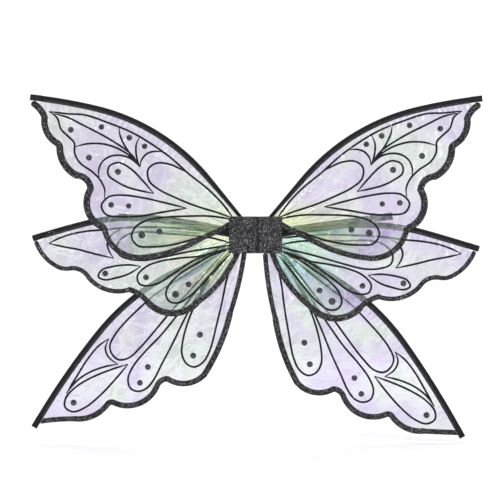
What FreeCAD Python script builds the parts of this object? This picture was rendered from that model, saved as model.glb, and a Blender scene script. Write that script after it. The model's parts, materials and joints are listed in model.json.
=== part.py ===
"""Fairy wings: six film wings on sprung rods, fanned from a two-part folding back block.

Frame: +X to the wearer's right, +Z up, and the wearer's back on the +Y side.
The origin is the middle of the block's rear face, which lies against the wearer's back.
Each side's three wings swing in their own layers about one rivet, and the right half of the
block folds over the left half about the welt at the front of the centre seam.
"""
import FreeCAD, Part
import Sketcher
import math
import os

V = FreeCAD.Vector

doc = FreeCAD.newDocument("FairyWings")

# ---------------------------------------------------------------- driving dimensions, millimetres
DIMENSIONS = {
    "block_half_width": 47.0,
    "block_height": 65.0,
    "seam_offset": 4.0,
    "seam_gap": 0.3,
    "pad_thick": 3.2,
    "board_thick": 2.0,
    "cover_thick": 0.8,
    "corner_radius": 3.0,
    "spine_width": 3.0,
    "welt_radius": 0.8,
    "welt_gap": 0.2,
    "pivot_x": 18.0,
    "pivot_z": 4.0,
    "rivet_radius": 2.5,
    "rivet_head_radius": 5.5,
    "rivet_head_thick": 0.9,
    "running_fit": 0.05,
    "washer_radius": 6.0,
    "washer_thick": 0.4,
    "rod_radius": 1.8,
    "sleeve_wall": 0.4,
    "layer_gap": 0.7,
    "film_thick": 0.4,
    "border_thick": 0.8,
    "border_width": 9.6,
    "hem_thick": 0.5,
    "hem_width": 8.4,
    "clip_eye_radius": 7.0,
    "rod_tail": 22.0,
    "hem_tail": 5.0,
    "socket_tail": 7.0,
    "cap_length": 21.0,
    "cap_wall": 3.0,
    "cap_fit": 0.2,
    "cap_width": 10.6,
    "cap_thick": 5.2,
    "cap_shift": 2.7,
    "edge_round": 0.8,
    "scallop_round": 9.0,
    "strap_width": 12.7,
    "strap_thick": 0.9,
    "strap_gap": 0.6,
    "strap_reach": 196.0,
    "strap_tail": 20.0,
    "strap_anchor_x": 47.0,
    "strap_anchor_z": 7.0,
    "strap_tilt": 7.8,
    "eyelet_inset": 9.0,
    "eyelet_radius": 2.0,
    "eyelet_head_radius": 3.6,
    "eyelet_head_thick": 0.3,
}


def make_sheet(values):
    sheet = doc.addObject("Spreadsheet::Sheet", "Sizes")
    for row, (alias, value) in enumerate(values.items(), start=1):
        sheet.set(f"A{row}", alias)
        sheet.set(f"B{row}", str(value))
        sheet.setAlias(f"B{row}", alias)
    doc.recompute()
    return sheet


sheet = make_sheet(DIMENSIONS)


def size(alias):
    return float(getattr(sheet, alias))


# ---------------------------------------------------------------- the stack of layers along Y
SLEEVE_RADIUS = size("rod_radius") + size("running_fit") + size("sleeve_wall")
PITCH = 2 * SLEEVE_RADIUS + size("layer_gap")
REAR_BOARD_Y = -size("pad_thick")
LAYERS_START_Y = REAR_BOARD_Y - size("board_thick")
LAYER_Y = {
    "lower": LAYERS_START_Y - size("layer_gap") - SLEEVE_RADIUS,
    "middle": LAYERS_START_Y - size("layer_gap") - SLEEVE_RADIUS - PITCH,
    "upper": LAYERS_START_Y - size("layer_gap") - SLEEVE_RADIUS - 2 * PITCH,
}
FRONT_BOARD_Y = LAYER_Y["upper"] - SLEEVE_RADIUS - size("layer_gap")
FRONT_FACE_Y = FRONT_BOARD_Y - size("board_thick") - size("cover_thick")
PIVOT = V(size("pivot_x"), 0, size("pivot_z"))

# ---------------------------------------------------------------- the wings, on the right hand side
# rod: where the leading edge leaves the block, its heading in degrees, the straight run, and the
# arcs that follow as (radius, clockwise turn in degrees).
# tip: the film's outer corner beside the cap, by side.
# trailing: arcs from the tip to the root as (middle point, end point, ribbon width factor).
# root: the two inner corners of the film, held in the clip's jaw.
# clip: the outline of the clip's plate beyond its eye.
# By side: droop is how far the wing hangs below its level, bow how much more its rod is sprung,
# both in degrees, trim how much shorter its rod is cut, and sag how far its film hangs below the
# outline given here.
WINGS = {
    "upper": {
        "start": (28, 35), "heading": 51.1, "straight": 82,
        "arcs": [(366, 37.6), (908, 7.5)],
        "tip": {"left": (389, 230), "right": (389, 230)},
        "trailing": [
            ((379, 221), (371, 207), 1.2), ((366, 179), (344, 159), 1.2),
            ((339, 130), (315, 105), 1.3), ((297, 97), (290, 81), 1.2),
            ((296, 47), (266, 13), 1.25), ((252, -18), (204, -40), 1.05),
            ((150, -30), (93, -5), 1.0), ((71, 5), (48, 18), 0.9),
        ],
        "root": [(37, 14), (25, 21)],
        "clip": [(11, 5), (11.4, 19.9), (20.5, 31.6), (26.8, 26.8), (42, 17), (40, 9), (22, -2)],
        "droop": {"left": 0.0, "right": 0.4},
        "bow": {"left": 0.0, "right": -0.5},
        "trim": {"left": 0.0, "right": 0.0},
        "sag": {"left": 0.0, "right": 0.0},
    },
    "middle": {
        "start": (49, 2.4), "heading": 13.8, "straight": 66,
        "arcs": [(408, 26.7), (2640, 2.1)],
        "tip": {"left": (386, -14), "right": (386, -14)},
        "trailing": [
            ((371, -39), (350, -56), 0.8), ((340, -60), (326, -60), 0.8),
            ((307, -64), (294, -77), 0.85), ((264, -98), (222, -99), 0.85),
            ((205, -107), (190, -121), 1.0), ((146, -141), (104, -123), 1.2),
            ((64, -86), (31, -31), 1.0),
        ],
        "root": [(26, -17), (33, -6)],
        "clip": [(14, 10), (27, 2), (40.5, 4.4), (42, -4), (31, -26), (21, -18), (13, -2)],
        "droop": {"left": 0.0, "right": 2.8},
        "bow": {"left": 2.0, "right": 0.0},
        "trim": {"left": 0.0, "right": 0.0},
        "sag": {"left": -3.0, "right": 0.0},
    },
    "lower": {
        "start": (45, -14), "heading": -26.6, "straight": 110,
        "arcs": [(407, 24.4), (1390, 8.4)],
        "tip": {"left": (377.5, -328.5), "right": (380.5, -326)},
        "trailing": [
            ((350, -325.5), (318, -324.5), 0.95), ((286, -319), (257, -292), 1.05),
            ((214, -300), (174, -267), 1.05), ((166, -257), (155, -254), 1.05),
            ((121, -262), (90, -246), 1.05), ((64, -197), (45, -139), 1.1),
            ((31, -91), (20, -34), 0.9),
        ],
        "root": [(18, -16), (26, -11)],
        "clip": [(12, 9), (26, 0), (40, -7), (36, -15.5), (24, -24), (14, -24), (11, 0)],
        "droop": {"left": 0.0, "right": 3.7},
        "bow": {"left": 0.4, "right": -0.6},
        "trim": {"left": 0.0, "right": 7.5},
        "sag": {"left": 0.0, "right": 10.0},
    },
}
SIDES = {"left": -1, "right": 1}

# The kink, in degrees, from which the notch between two scallops is rounded.
LEAST_KINK = 12


def point(xz, side=1, y=0.0):
    return V(side * xz[0], y, xz[1])


def direction(heading):
    angle = math.radians(heading)
    return V(math.cos(angle), 0, math.sin(angle))


def wing_placement(wing, side_name):
    """The wing's layer, with its droop as a turn about the rivet."""
    side = SIDES[side_name]
    turn = FreeCAD.Rotation(V(0, 1, 0), side * WINGS[wing]["droop"][side_name])
    centre = V(side * PIVOT.x, 0, PIVOT.z)
    return FreeCAD.Placement(V(0, LAYER_Y[wing], 0), turn, centre)


def by_side(wing, key, side):
    """The wing's own value for the side: -1 is the left hand side, 1 the right."""
    return WINGS[wing][key]["left" if side < 0 else "right"]


def mirrored(vector, side):
    return V(side * vector.x, vector.y, vector.z)


def root_heading(wing, side):
    return WINGS[wing]["heading"] + by_side(wing, "bow", side)


def sprung_arcs(wing, side):
    """The rod's arcs, each as long as given, turned further where the rod is bowed more."""
    data = WINGS[wing]
    bow = by_side(wing, "bow", side)
    lengths = [radius * math.radians(turn) for radius, turn in data["arcs"]]
    run = data["straight"] + sum(lengths)
    more = 2 * bow * run / sum(lengths)
    shares = [length / sum(lengths) for length in lengths]
    turns = [turn + more * share for (_, turn), share in zip(data["arcs"], shares)]
    return [(length / math.radians(turn), turn) for length, turn in zip(lengths, turns)]


def leading_run(wing, side, inset=0.0, tail=0.0, short=0.0):
    """Edges of a line beside the rod: inset towards the trailing edge, longer by tail at the
    root and shorter by short at the tip. Returns the edges and the end point and heading."""
    data = WINGS[wing]
    heading = root_heading(wing, side)
    along = direction(heading)
    inward = V(along.z, 0, -along.x)
    here = point(data["start"]) - along * tail + inward * inset
    there = here + along * (data["straight"] + tail)
    edges = [Part.LineSegment(mirrored(here, side), mirrored(there, side))]
    arcs = sprung_arcs(wing, side)
    last_radius, last_turn = arcs[-1]
    short += by_side(wing, "trim", side)
    arcs[-1] = (last_radius, last_turn - math.degrees(short / last_radius))
    for radius, turn in arcs:
        radius -= inset
        along = direction(heading)
        centre = there + V(along.z, 0, -along.x) * radius
        half_way = direction(heading - turn / 2)
        middle = centre + V(-half_way.z, 0, half_way.x) * radius
        heading -= turn
        after = centre + V(-direction(heading).z, 0, direction(heading).x) * radius
        edges.append(Part.Arc(mirrored(there, side), mirrored(middle, side), mirrored(after, side)))
        there = after
    return edges, there, heading


# ---------------------------------------------------------------- small helpers for the document
def plane_of(body, role):
    return next(item for item in body.Origin.OriginFeatures if item.Role == role)


def new_body(name):
    body = doc.addObject("PartDesign::Body", name)
    body.Label = name
    return body


def new_sketch(body, name, role, offset=None):
    sketch = body.newObject("Sketcher::SketchObject", name)
    sketch.AttachmentSupport = [(plane_of(body, role), "")]
    sketch.MapMode = "FlatFace"
    if offset is not None:
        sketch.AttachmentOffset = offset
    return sketch


def flat(vector):
    """A point of the XZ plane in the axes of a sketch on that plane."""
    return V(vector.x, vector.z, 0)


def add_outline(sketch, corners):
    """A closed outline of straight edges through the given (x, y) corners."""
    count = len(corners)
    for index, corner in enumerate(corners):
        following = corners[(index + 1) % count]
        sketch.addGeometry(Part.LineSegment(V(*corner, 0), V(*following, 0)))
    for index in range(count):
        sketch.addConstraint(Sketcher.Constraint("Coincident", index, 2, (index + 1) % count, 1))


def add_circle(sketch, centre, radius_alias, extra=""):
    index = sketch.addGeometry(Part.Circle(V(*centre, 0), V(0, 0, 1), size(radius_alias)))
    constraint = sketch.addConstraint(Sketcher.Constraint("Radius", index, size(radius_alias)))
    sketch.setExpression(f"Constraints[{constraint}]", f"Sizes.{radius_alias}{extra}")
    return index


def pad(body, sketch, length, name="Pad", midplane=False):
    feature = body.newObject("PartDesign::Pad", name)
    feature.Profile = sketch
    feature.setExpression("Length", length)
    feature.Midplane = midplane
    return feature


def pocket(body, sketch, length, name="Pocket", midplane=False, reverse=False):
    """Cuts the sketch into the body, and stops if nothing was cut away."""
    doc.recompute()
    before = body.Shape.Volume
    feature = body.newObject("PartDesign::Pocket", name)
    feature.Profile = sketch
    feature.setExpression("Length", length)
    feature.Midplane = midplane
    feature.Reversed = reverse
    doc.recompute()
    if body.Shape.Volume > before - 0.01:
        raise RuntimeError(f"{body.Label}: {name} cut nothing")
    return feature


def rounded(body, name, direction_test, radius_alias):
    """Rounds the edges of the body's tip for which direction_test(edge) holds."""
    doc.recompute()
    base = body.Tip
    edges = [f"Edge{i}" for i, edge in enumerate(base.Shape.Edges, start=1) if direction_test(edge)]
    fillet = body.newObject("PartDesign::Fillet", name)
    fillet.Base = (base, edges)
    fillet.setExpression("Radius", f"Sizes.{radius_alias}")
    return fillet


def runs_along_y(edge):
    first, last = edge.Vertexes[0].Point, edge.Vertexes[-1].Point
    return abs(first.y - last.y) > 0.1 and abs(first.x - last.x) < 0.01


# ---------------------------------------------------------------- the block's two halves
def half_span(side_name):
    """The X limits of one half of the block, clear of the centre seam."""
    seam, gap, edge = size("seam_offset"), size("seam_gap"), size("block_half_width")
    if side_name == "left":
        return -edge, seam - gap
    return seam + gap, edge


def cover_span(side_name):
    """The X limits of one front cover, clear of the welt that it turns about."""
    seam, edge = size("seam_offset"), size("block_half_width")
    clear = size("welt_radius") + size("welt_gap")
    if side_name == "left":
        return -edge, seam - clear
    return seam + clear, edge


def slab(name, span, y_front, thick_alias, height_inset=0.0):
    """A square-cornered plate of the block: y_front is the face at lower Y."""
    body = new_body(name)
    half = size("block_height") / 2 - height_inset
    outline = new_sketch(body, f"{name}_outline", "XZ_Plane")
    add_outline(outline, [(span[0], -half), (span[1], -half), (span[1], half), (span[0], half)])
    height = outline.addConstraint(Sketcher.Constraint("DistanceY", 1, 1, 1, 2, 2 * half))
    outline.setExpression(f"Constraints[{height}]", f"Sizes.block_height - {2 * height_inset}")
    pad(body, outline, f"Sizes.{thick_alias}", f"{name}_pad")
    body.Placement = FreeCAD.Placement(V(0, y_front + size(thick_alias), 0), FreeCAD.Rotation())
    return body


def rivet_hole(body, name, side, head_at_rear):
    """The rivet's hole through a board and the counterbore that takes its head."""
    centre = (side * PIVOT.x, PIVOT.z)
    hole = new_sketch(body, f"{name}_hole", "XZ_Plane")
    add_circle(hole, centre, "rivet_radius")
    pocket(body, hole, "Sizes.board_thick", f"{name}_hole_cut", reverse=True)
    depth = size("rivet_head_thick")
    start = 0.0 if head_at_rear else size("board_thick") - depth
    recess = new_sketch(body, f"{name}_recess", "XZ_Plane",
                        FreeCAD.Placement(V(0, 0, start), FreeCAD.Rotation()))
    add_circle(recess, centre, "rivet_head_radius")
    pocket(body, recess, "Sizes.rivet_head_thick", f"{name}_recess_cut", reverse=True)


def eyelet_hole(body, name, side):
    """The hole through the rear board for the eyelet that holds the strap."""
    hole = new_sketch(body, f"{name}_eyelet", "XZ_Plane")
    add_circle(hole, eyelet_centre(side), "eyelet_radius")
    pocket(body, hole, "Sizes.board_thick", f"{name}_eyelet_cut", reverse=True)


def eyelet_centre(side):
    inward = size("eyelet_inset")
    tilt = math.radians(size("strap_tilt"))
    return (side * (size("strap_anchor_x") - inward * math.cos(tilt)),
            size("strap_anchor_z") - inward * math.sin(tilt))


def back_pad(side_name):
    """The soft pad against the wearer's back, with the channel that the strap comes out of."""
    side = SIDES[side_name]
    name = f"back_pad_{side_name}"
    body = slab(name, half_span(side_name), -size("pad_thick"), "pad_thick")
    tilt = math.radians(side * size("strap_tilt"))
    along = V(side * math.cos(tilt), side * math.sin(tilt), 0)
    across = V(-along.y, along.x, 0) * (size("strap_width") / 2 + size("seam_gap"))
    anchor = V(side * size("strap_anchor_x"), size("strap_anchor_z"), 0)
    outer = anchor + along * size("strap_width")
    inner = anchor - along * (size("strap_tail") + size("seam_gap"))
    corners = [inner - across, outer - across, outer + across, inner + across]
    channel = new_sketch(body, f"{name}_channel", "XZ_Plane")
    add_outline(channel, [(corner.x, corner.y) for corner in corners])
    pocket(body, channel, "Sizes.pad_thick", f"{name}_channel_cut", reverse=True)


def board(side_name, place):
    """A stiff board: the rivet's head sinks into its outer face."""
    name = f"{place}_board_{side_name}"
    rear = place == "rear"
    y_front = REAR_BOARD_Y - size("board_thick") if rear else FRONT_BOARD_Y - size("board_thick")
    span = half_span(side_name)
    inset = 0.0
    if not rear:
        inset = size("cover_thick") + size("running_fit")
        low, high = cover_span(side_name)
        span = (low + inset, high - inset)
    body = slab(name, span, y_front, "board_thick", inset)
    rivet_hole(body, name, SIDES[side_name], rear)
    if rear:
        eyelet_hole(body, name, SIDES[side_name])


def front_cover(side_name):
    """The glitter cloth cover: a shallow tray over the front board, wrapped round its edges."""
    name = f"glitter_cover_{side_name}"
    body = new_body(name)
    low, high = cover_span(side_name)
    half = size("block_height") / 2
    outline = new_sketch(body, f"{name}_outline", "XZ_Plane")
    add_outline(outline, [(low, -half), (high, -half), (high, half), (low, half)])
    pad(body, outline, "Sizes.board_thick + Sizes.cover_thick", f"{name}_pad")
    rounded(body, f"{name}_round", runs_along_y, "edge_round")
    wrap = size("cover_thick")
    inside = new_sketch(body, f"{name}_inside", "XZ_Plane")
    corners = [(low + wrap, wrap - half), (high - wrap, wrap - half),
               (high - wrap, half - wrap), (low + wrap, half - wrap)]
    add_outline(inside, corners)
    pocket(body, inside, "Sizes.board_thick", f"{name}_inside_cut", reverse=True)
    body.Placement = FreeCAD.Placement(V(0, FRONT_BOARD_Y, 0), FreeCAD.Rotation())


def spine(side_name):
    """The wall beside the seam that holds the front and rear boards apart."""
    low, high = half_span(side_name)
    width = size("spine_width")
    span = (high - width, high) if side_name == "left" else (low, low + width)
    body = new_body(f"spine_{side_name}")
    half = size("block_height") / 2 - size("corner_radius")
    outline = new_sketch(body, f"{body.Name}_outline", "XZ_Plane")
    add_outline(outline, [(span[0], -half), (span[1], -half), (span[1], half), (span[0], half)])
    pad(body, outline, f"{LAYERS_START_Y - FRONT_BOARD_Y}")
    body.Placement = FreeCAD.Placement(V(0, LAYERS_START_Y, 0), FreeCAD.Rotation())


def cylinder(name, radius_alias, length, y_rear, centre):
    """A cylinder along Y whose rear end is at y_rear."""
    item = doc.addObject("Part::Cylinder", name)
    item.setExpression("Radius", f"Sizes.{radius_alias}")
    item.Height = length
    turn = FreeCAD.Rotation(V(1, 0, 0), 90)
    item.Placement = FreeCAD.Placement(V(centre[0], y_rear, centre[1]), turn)
    return item


def headed_pin(name, centre, radius_alias, head_alias, head_thick, y_rear, y_front):
    """A shank with a flat head at each end, as one closed rivet or eyelet."""
    shank = cylinder(f"{name}_shank", radius_alias, y_rear - y_front, y_rear, centre)
    rear = cylinder(f"{name}_rear_head", head_alias, head_thick, y_rear, centre)
    front = cylinder(f"{name}_front_head", head_alias, head_thick, y_front + head_thick, centre)
    whole = doc.addObject("Part::MultiFuse", name)
    whole.Shapes = [shank, rear, front]
    whole.Label = name
    PARTS.append(whole)


def rivet(side_name):
    centre = (SIDES[side_name] * PIVOT.x, PIVOT.z)
    headed_pin(f"fan_rivet_{side_name}", centre, "rivet_radius", "rivet_head_radius",
               size("rivet_head_thick"), REAR_BOARD_Y, FRONT_BOARD_Y - size("board_thick"))


def eyelet(side_name):
    """Fastens the strap's two ends to the rear board."""
    head = size("eyelet_head_thick")
    strap_rear = REAR_BOARD_Y + 2 * size("strap_thick") + size("strap_gap")
    headed_pin(f"strap_eyelet_{side_name}", eyelet_centre(SIDES[side_name]), "eyelet_radius",
               "eyelet_head_radius", head, strap_rear + head, LAYERS_START_Y - head)


def washers(side_name):
    """Four thin washers on the rivet: between the boards and the three clips."""
    centre = (SIDES[side_name] * PIVOT.x, PIVOT.z)
    gap, thick = size("layer_gap"), size("washer_thick")
    rear_faces = [LAYERS_START_Y]
    rear_faces += [LAYER_Y[wing] - SLEEVE_RADIUS for wing in ("lower", "middle", "upper")]
    rings = []
    for index, face in enumerate(rear_faces):
        y_rear = face - (gap - thick) / 2
        disc = cylinder(f"washer_disc_{side_name}_{index}", "washer_radius", thick, y_rear, centre)
        hole = cylinder(f"washer_hole_{side_name}_{index}", "rivet_radius", thick, y_rear, centre)
        hole.setExpression("Radius", "Sizes.rivet_radius + Sizes.running_fit")
        ring = doc.addObject("Part::Cut", f"washer_{side_name}_{index}")
        ring.Base = disc
        ring.Tool = hole
        rings.append(ring)
    group = doc.addObject("Part::Compound", f"rivet_washers_{side_name}")
    group.Links = rings
    group.Label = f"rivet_washers_{side_name}"
    PARTS.append(group)


def seam_welt():
    """The sewn bead down the front of the seam, which the right half folds about."""
    welt = doc.addObject("Part::Cylinder", "seam_welt")
    welt.Label = "seam_welt"
    welt.setExpression("Radius", "Sizes.welt_radius")
    welt.setExpression("Height", "Sizes.block_height")
    welt.Placement = FreeCAD.Placement(
        V(size("seam_offset"), FRONT_FACE_Y, -size("block_height") / 2), FreeCAD.Rotation())
    PARTS.append(welt)


# ---------------------------------------------------------------- the shoulder straps
def shoulder_strap(side_name):
    """An elastic loop folded flat beside the block: two plies that meet in a round end."""
    side = SIDES[side_name]
    body = new_body(f"shoulder_strap_{side_name}")
    thick, gap = size("strap_thick"), size("strap_gap")
    outer, inner = thick + gap / 2, gap / 2
    tail, reach = -size("strap_tail"), size("strap_reach")
    outline = new_sketch(body, f"{body.Name}_outline", "XY_Plane")
    for half in (outer, inner):
        outline.addGeometry(Part.LineSegment(V(tail, half, 0), V(reach, half, 0)))
        outline.addGeometry(Part.Arc(V(reach, half, 0), V(reach + half, 0, 0), V(reach, -half, 0)))
        outline.addGeometry(Part.LineSegment(V(reach, -half, 0), V(tail, -half, 0)))
    outline.addGeometry(Part.LineSegment(V(tail, outer, 0), V(tail, inner, 0)))
    outline.addGeometry(Part.LineSegment(V(tail, -outer, 0), V(tail, -inner, 0)))
    pad(body, outline, "Sizes.strap_width", f"{body.Name}_pad", midplane=True)
    hole = new_sketch(body, f"{body.Name}_hole", "XZ_Plane")
    add_circle(hole, (-size("eyelet_inset"), 0), "eyelet_radius")
    both_plies = "4 * Sizes.strap_thick + 2 * Sizes.strap_gap"
    pocket(body, hole, both_plies, f"{body.Name}_hole_cut", midplane=True)
    y_middle = REAR_BOARD_Y + outer
    turn = FreeCAD.Rotation(V(0, 1, 0), -size("strap_tilt"))
    if side < 0:
        turn = FreeCAD.Rotation(V(0, 1, 0), 180 + size("strap_tilt"))
    anchor = V(side * size("strap_anchor_x"), y_middle, size("strap_anchor_z"))
    body.Placement = FreeCAD.Placement(anchor, turn)


# ---------------------------------------------------------------- the wings
def pipe_along(body, wing, side, tail, short, circles):
    """A round bar or tube along the leading edge; circles are the formulas of its radii."""
    path = new_sketch(body, f"{body.Name}_path", "XZ_Plane")
    edges, _, _ = leading_run(wing, side, tail=tail, short=short)
    for edge in edges:
        points = [edge.value(edge.FirstParameter), edge.value(edge.LastParameter)]
        if isinstance(edge, Part.LineSegment):
            path.addGeometry(Part.LineSegment(flat(points[0]), flat(points[1])))
        else:
            middle = edge.value((edge.FirstParameter + edge.LastParameter) / 2)
            path.addGeometry(Part.Arc(flat(points[0]), flat(middle), flat(points[1])))
    first = edges[0].StartPoint
    heading = root_heading(wing, side) if side > 0 else 180 - root_heading(wing, side)
    offset = FreeCAD.Placement(V(0, first.z, first.x), FreeCAD.Rotation(V(1, 0, 0), -heading))
    section = new_sketch(body, f"{body.Name}_section", "YZ_Plane", offset)
    for radius in circles:
        index = section.addGeometry(Part.Circle(V(0, 0, 0), V(0, 0, 1), 1.0 + len(radius) / 100))
        constraint = section.addConstraint(Sketcher.Constraint("Radius", index, 1.0))
        section.setExpression(f"Constraints[{constraint}]", radius)
    pipe = body.newObject("PartDesign::AdditivePipe", f"{body.Name}_pipe")
    pipe.Profile = section
    pipe.Spine = (path, [f"Edge{i + 1}" for i in range(len(edges))])
    return pipe


def rod(wing, side_name):
    """The springy rod of the leading edge, from inside the clip to inside the tip cap."""
    body = new_body(f"{wing}_rod_{side_name}")
    pipe_along(body, wing, SIDES[side_name], size("rod_tail"), size("cap_wall"), ["Sizes.rod_radius"])
    body.Placement = wing_placement(wing, side_name)


def hem_band(wing, side, near, far, tail):
    """The closed outline of a strip beside the rod, between two insets."""
    short = size("cap_length") + size("seam_gap")
    outer, outer_end, _ = leading_run(wing, side, near, tail, short)
    inner, inner_end, _ = leading_run(wing, side, far, tail, short)
    ends = [Part.LineSegment(outer[0].StartPoint, inner[0].StartPoint),
            Part.LineSegment(mirrored(outer_end, side), mirrored(inner_end, side))]
    return outer + inner + ends


def hem(wing, side_name):
    """The cloth hem: a sleeve round the rod and a flat strip bonded to the film's front face."""
    side = SIDES[side_name]
    body = new_body(f"{wing}_hem_{side_name}")
    bore = "Sizes.rod_radius + Sizes.running_fit"
    short = size("cap_length") + size("seam_gap")
    pipe_along(body, wing, side, size("hem_tail"), short, [f"{bore} + Sizes.sleeve_wall", bore])
    lift = FreeCAD.Placement(V(0, 0, size("film_thick") / 2), FreeCAD.Rotation())
    strip = new_sketch(body, f"{body.Name}_strip", "XZ_Plane", lift)
    near = SLEEVE_RADIUS - size("sleeve_wall") / 2
    for edge in hem_band(wing, side, near, size("hem_width"), size("hem_tail")):
        ends = [edge.value(edge.FirstParameter), edge.value(edge.LastParameter)]
        if isinstance(edge, Part.LineSegment):
            strip.addGeometry(Part.LineSegment(flat(ends[0]), flat(ends[1])))
        else:
            middle = edge.value((edge.FirstParameter + edge.LastParameter) / 2)
            strip.addGeometry(Part.Arc(flat(ends[0]), flat(middle), flat(ends[1])))
    pad(body, strip, "Sizes.hem_thick", f"{body.Name}_strip_pad")
    body.Placement = wing_placement(wing, side_name)


def sagged(wing, side, xz):
    """The spot of the film's outline, lowered most half way between the rivet and the tip."""
    tip = by_side(wing, "tip", side)
    length = math.hypot(tip[0] - PIVOT.x, tip[1] - PIVOT.z)
    share = min(1.0, math.hypot(xz[0] - PIVOT.x, xz[1] - PIVOT.z) / length)
    return point((xz[0], xz[1] - by_side(wing, "sag", side) * math.sin(math.pi * share)))


def circle_of(arc):
    """Centre, radius and the way round of an arc given as three points."""
    circle = Part.Arc(*arc).toShape().Curve
    return circle.Center, circle.Radius, (arc[1] - arc[0]).cross(arc[2] - arc[1]).y > 0


def short_arc(centre, radius, start, end):
    return start, centre + ((start + end) * 0.5 - centre).normalize() * radius, end


def notch_fillet(first, second, radius):
    """The arc tangent to two arcs that meet in a notch, and what it leaves of each; none where
    they don't bulge the same way or already flow into each other."""
    centre_a, radius_a, turn_a = circle_of(first)
    centre_b, radius_b, turn_b = circle_of(second)
    joint = first[2]
    kink = math.degrees((joint - centre_a).getAngle(joint - centre_b))
    if turn_a != turn_b or kink < LEAST_KINK:
        return None
    reach_a, reach_b = radius_a + radius, radius_b + radius
    between = centre_b - centre_a
    along = (reach_a ** 2 - reach_b ** 2 + between.Length ** 2) / (2 * between.Length)
    aside = math.sqrt(reach_a ** 2 - along ** 2)
    unit = between * (1 / between.Length)
    middle = centre_a + unit * along
    square = V(unit.z, 0, -unit.x) * aside
    centre = min((middle + square, middle - square), key=lambda spot: (spot - joint).Length)
    touch_a = centre_a + (centre - centre_a) * (radius_a / reach_a)
    touch_b = centre_b + (centre - centre_b) * (radius_b / reach_b)
    fillet = short_arc(centre, radius, touch_a, touch_b)
    return (short_arc(centre_a, radius_a, first[0], touch_a), fillet,
            short_arc(centre_b, radius_b, touch_b, second[2]))


def trailing_arcs(wing, side):
    """The scalloped trailing edge, from the tip to the root, as (arc, ribbon width)."""
    run = []
    before = sagged(wing, side, by_side(wing, "tip", side))
    for middle, after, factor in WINGS[wing]["trailing"]:
        arc = (before, sagged(wing, side, middle), sagged(wing, side, after))
        before = arc[2]
        width = factor * size("border_width")
        soft = notch_fillet(run[-1][0], arc, size("scallop_round")) if run else None
        if soft:
            run[-1] = (soft[0], run[-1][1])
            run.append((soft[1], (run[-1][1] + width) / 2))
            arc = soft[2]
        run.append((arc, width))
    return [(Part.Arc(*(mirrored(spot, side) for spot in arc)), width) for arc, width in run]


def prism(edges, y_front, thick):
    """The closed outline as a plate from y_front towards +Y."""
    wire = Part.Wire(Part.__sortEdges__([edge.toShape() for edge in edges]))
    plate = Part.Face(wire).extrude(V(0, thick, 0))
    plate.translate(V(0, y_front, 0))
    return plate


def ribbon(wing, side, y_front, thick):
    """A ribbon centred on the trailing edge: a ring sector for each arc, a disc at each joint."""
    plates = []
    for arc, width in trailing_arcs(wing, side):
        circle = arc.toShape().Curve
        centre = circle.Center
        ends = [arc.value(arc.FirstParameter), arc.value(arc.LastParameter)]
        middle = arc.value((arc.FirstParameter + arc.LastParameter) / 2)
        rims = []
        for radius in (circle.Radius - width / 2, circle.Radius + width / 2):
            scale = radius / circle.Radius
            rims.append([centre + (spot - centre) * scale for spot in (ends[0], middle, ends[1])])
        inner, outer = rims
        edges = [Part.Arc(*inner), Part.Arc(*outer),
                 Part.LineSegment(inner[0], outer[0]), Part.LineSegment(inner[2], outer[2])]
        plates.append(prism(edges, y_front, thick))
        for end in ends:
            disc = Part.makeCylinder(width / 2, thick, end + V(0, y_front, 0), V(0, 1, 0))
            plates.append(disc)
    return plates[0].fuse(plates[1:]).removeSplitter()


def film_core(wing, side, y_front, thick):
    """The film inside its border's centre line, from the sleeve to the trailing edge."""
    data = WINGS[wing]
    short = size("cap_length") + size("seam_gap")
    edges, end, _ = leading_run(wing, side, SLEEVE_RADIUS, size("hem_tail"), short)
    trailing = [arc for arc, _ in trailing_arcs(wing, side)]
    beside = size("cap_width") / 2 + size("cap_shift") + size("seam_gap")
    beside_cap = leading_run(wing, side, beside, 0.0, short)[1]
    corners = [mirrored(end, side), mirrored(beside_cap, side), trailing[0].StartPoint]
    tail = trailing[-1].EndPoint
    inner = [tail] + [point(corner, side) for corner in data["root"]] + [edges[0].StartPoint]
    edges = edges + trailing
    edges += [Part.LineSegment(*pair) for pair in zip(corners, corners[1:])]
    edges += [Part.LineSegment(*pair) for pair in zip(inner, inner[1:])]
    return prism(edges, y_front, thick)


def cap_placement(wing, side):
    """The tip cap's own axes: X out along the rod's last chord, from the rod's end."""
    _, end, _ = leading_run(wing, side)
    _, mouth, _ = leading_run(wing, side, short=size("cap_length"))
    heading = math.degrees(math.atan2(end.z - mouth.z, end.x - mouth.x))
    turn = -heading if side > 0 else heading - 180
    return FreeCAD.Placement(mirrored(end, side), FreeCAD.Rotation(V(0, 1, 0), turn))


def cap_guard(wing, side):
    """The space round the tip cap that the film and the border stay out of."""
    gap = size("seam_gap")
    length, width, thick = size("cap_length"), size("cap_width"), size("cap_thick")
    corner = V(-length - gap, -thick, -side * size("cap_shift") - width / 2 - gap)
    box = Part.makeBox(length + 2 * gap, 2 * thick, width + 2 * gap, corner)
    box.Placement = cap_placement(wing, side) * box.Placement
    return box


def leading_guard(wing, side, far, y_front, thick):
    """The strip along the rod that the border must stay out of."""
    return prism(hem_band(wing, side, -2 * size("hem_width"), far, size("rod_tail")), y_front, thick)


def shaped_part(name, shape, placement):
    feature = doc.addObject("Part::Feature", name)
    feature.Label = name
    feature.Shape = shape
    feature.Placement = placement
    PARTS.append(feature)


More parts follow.
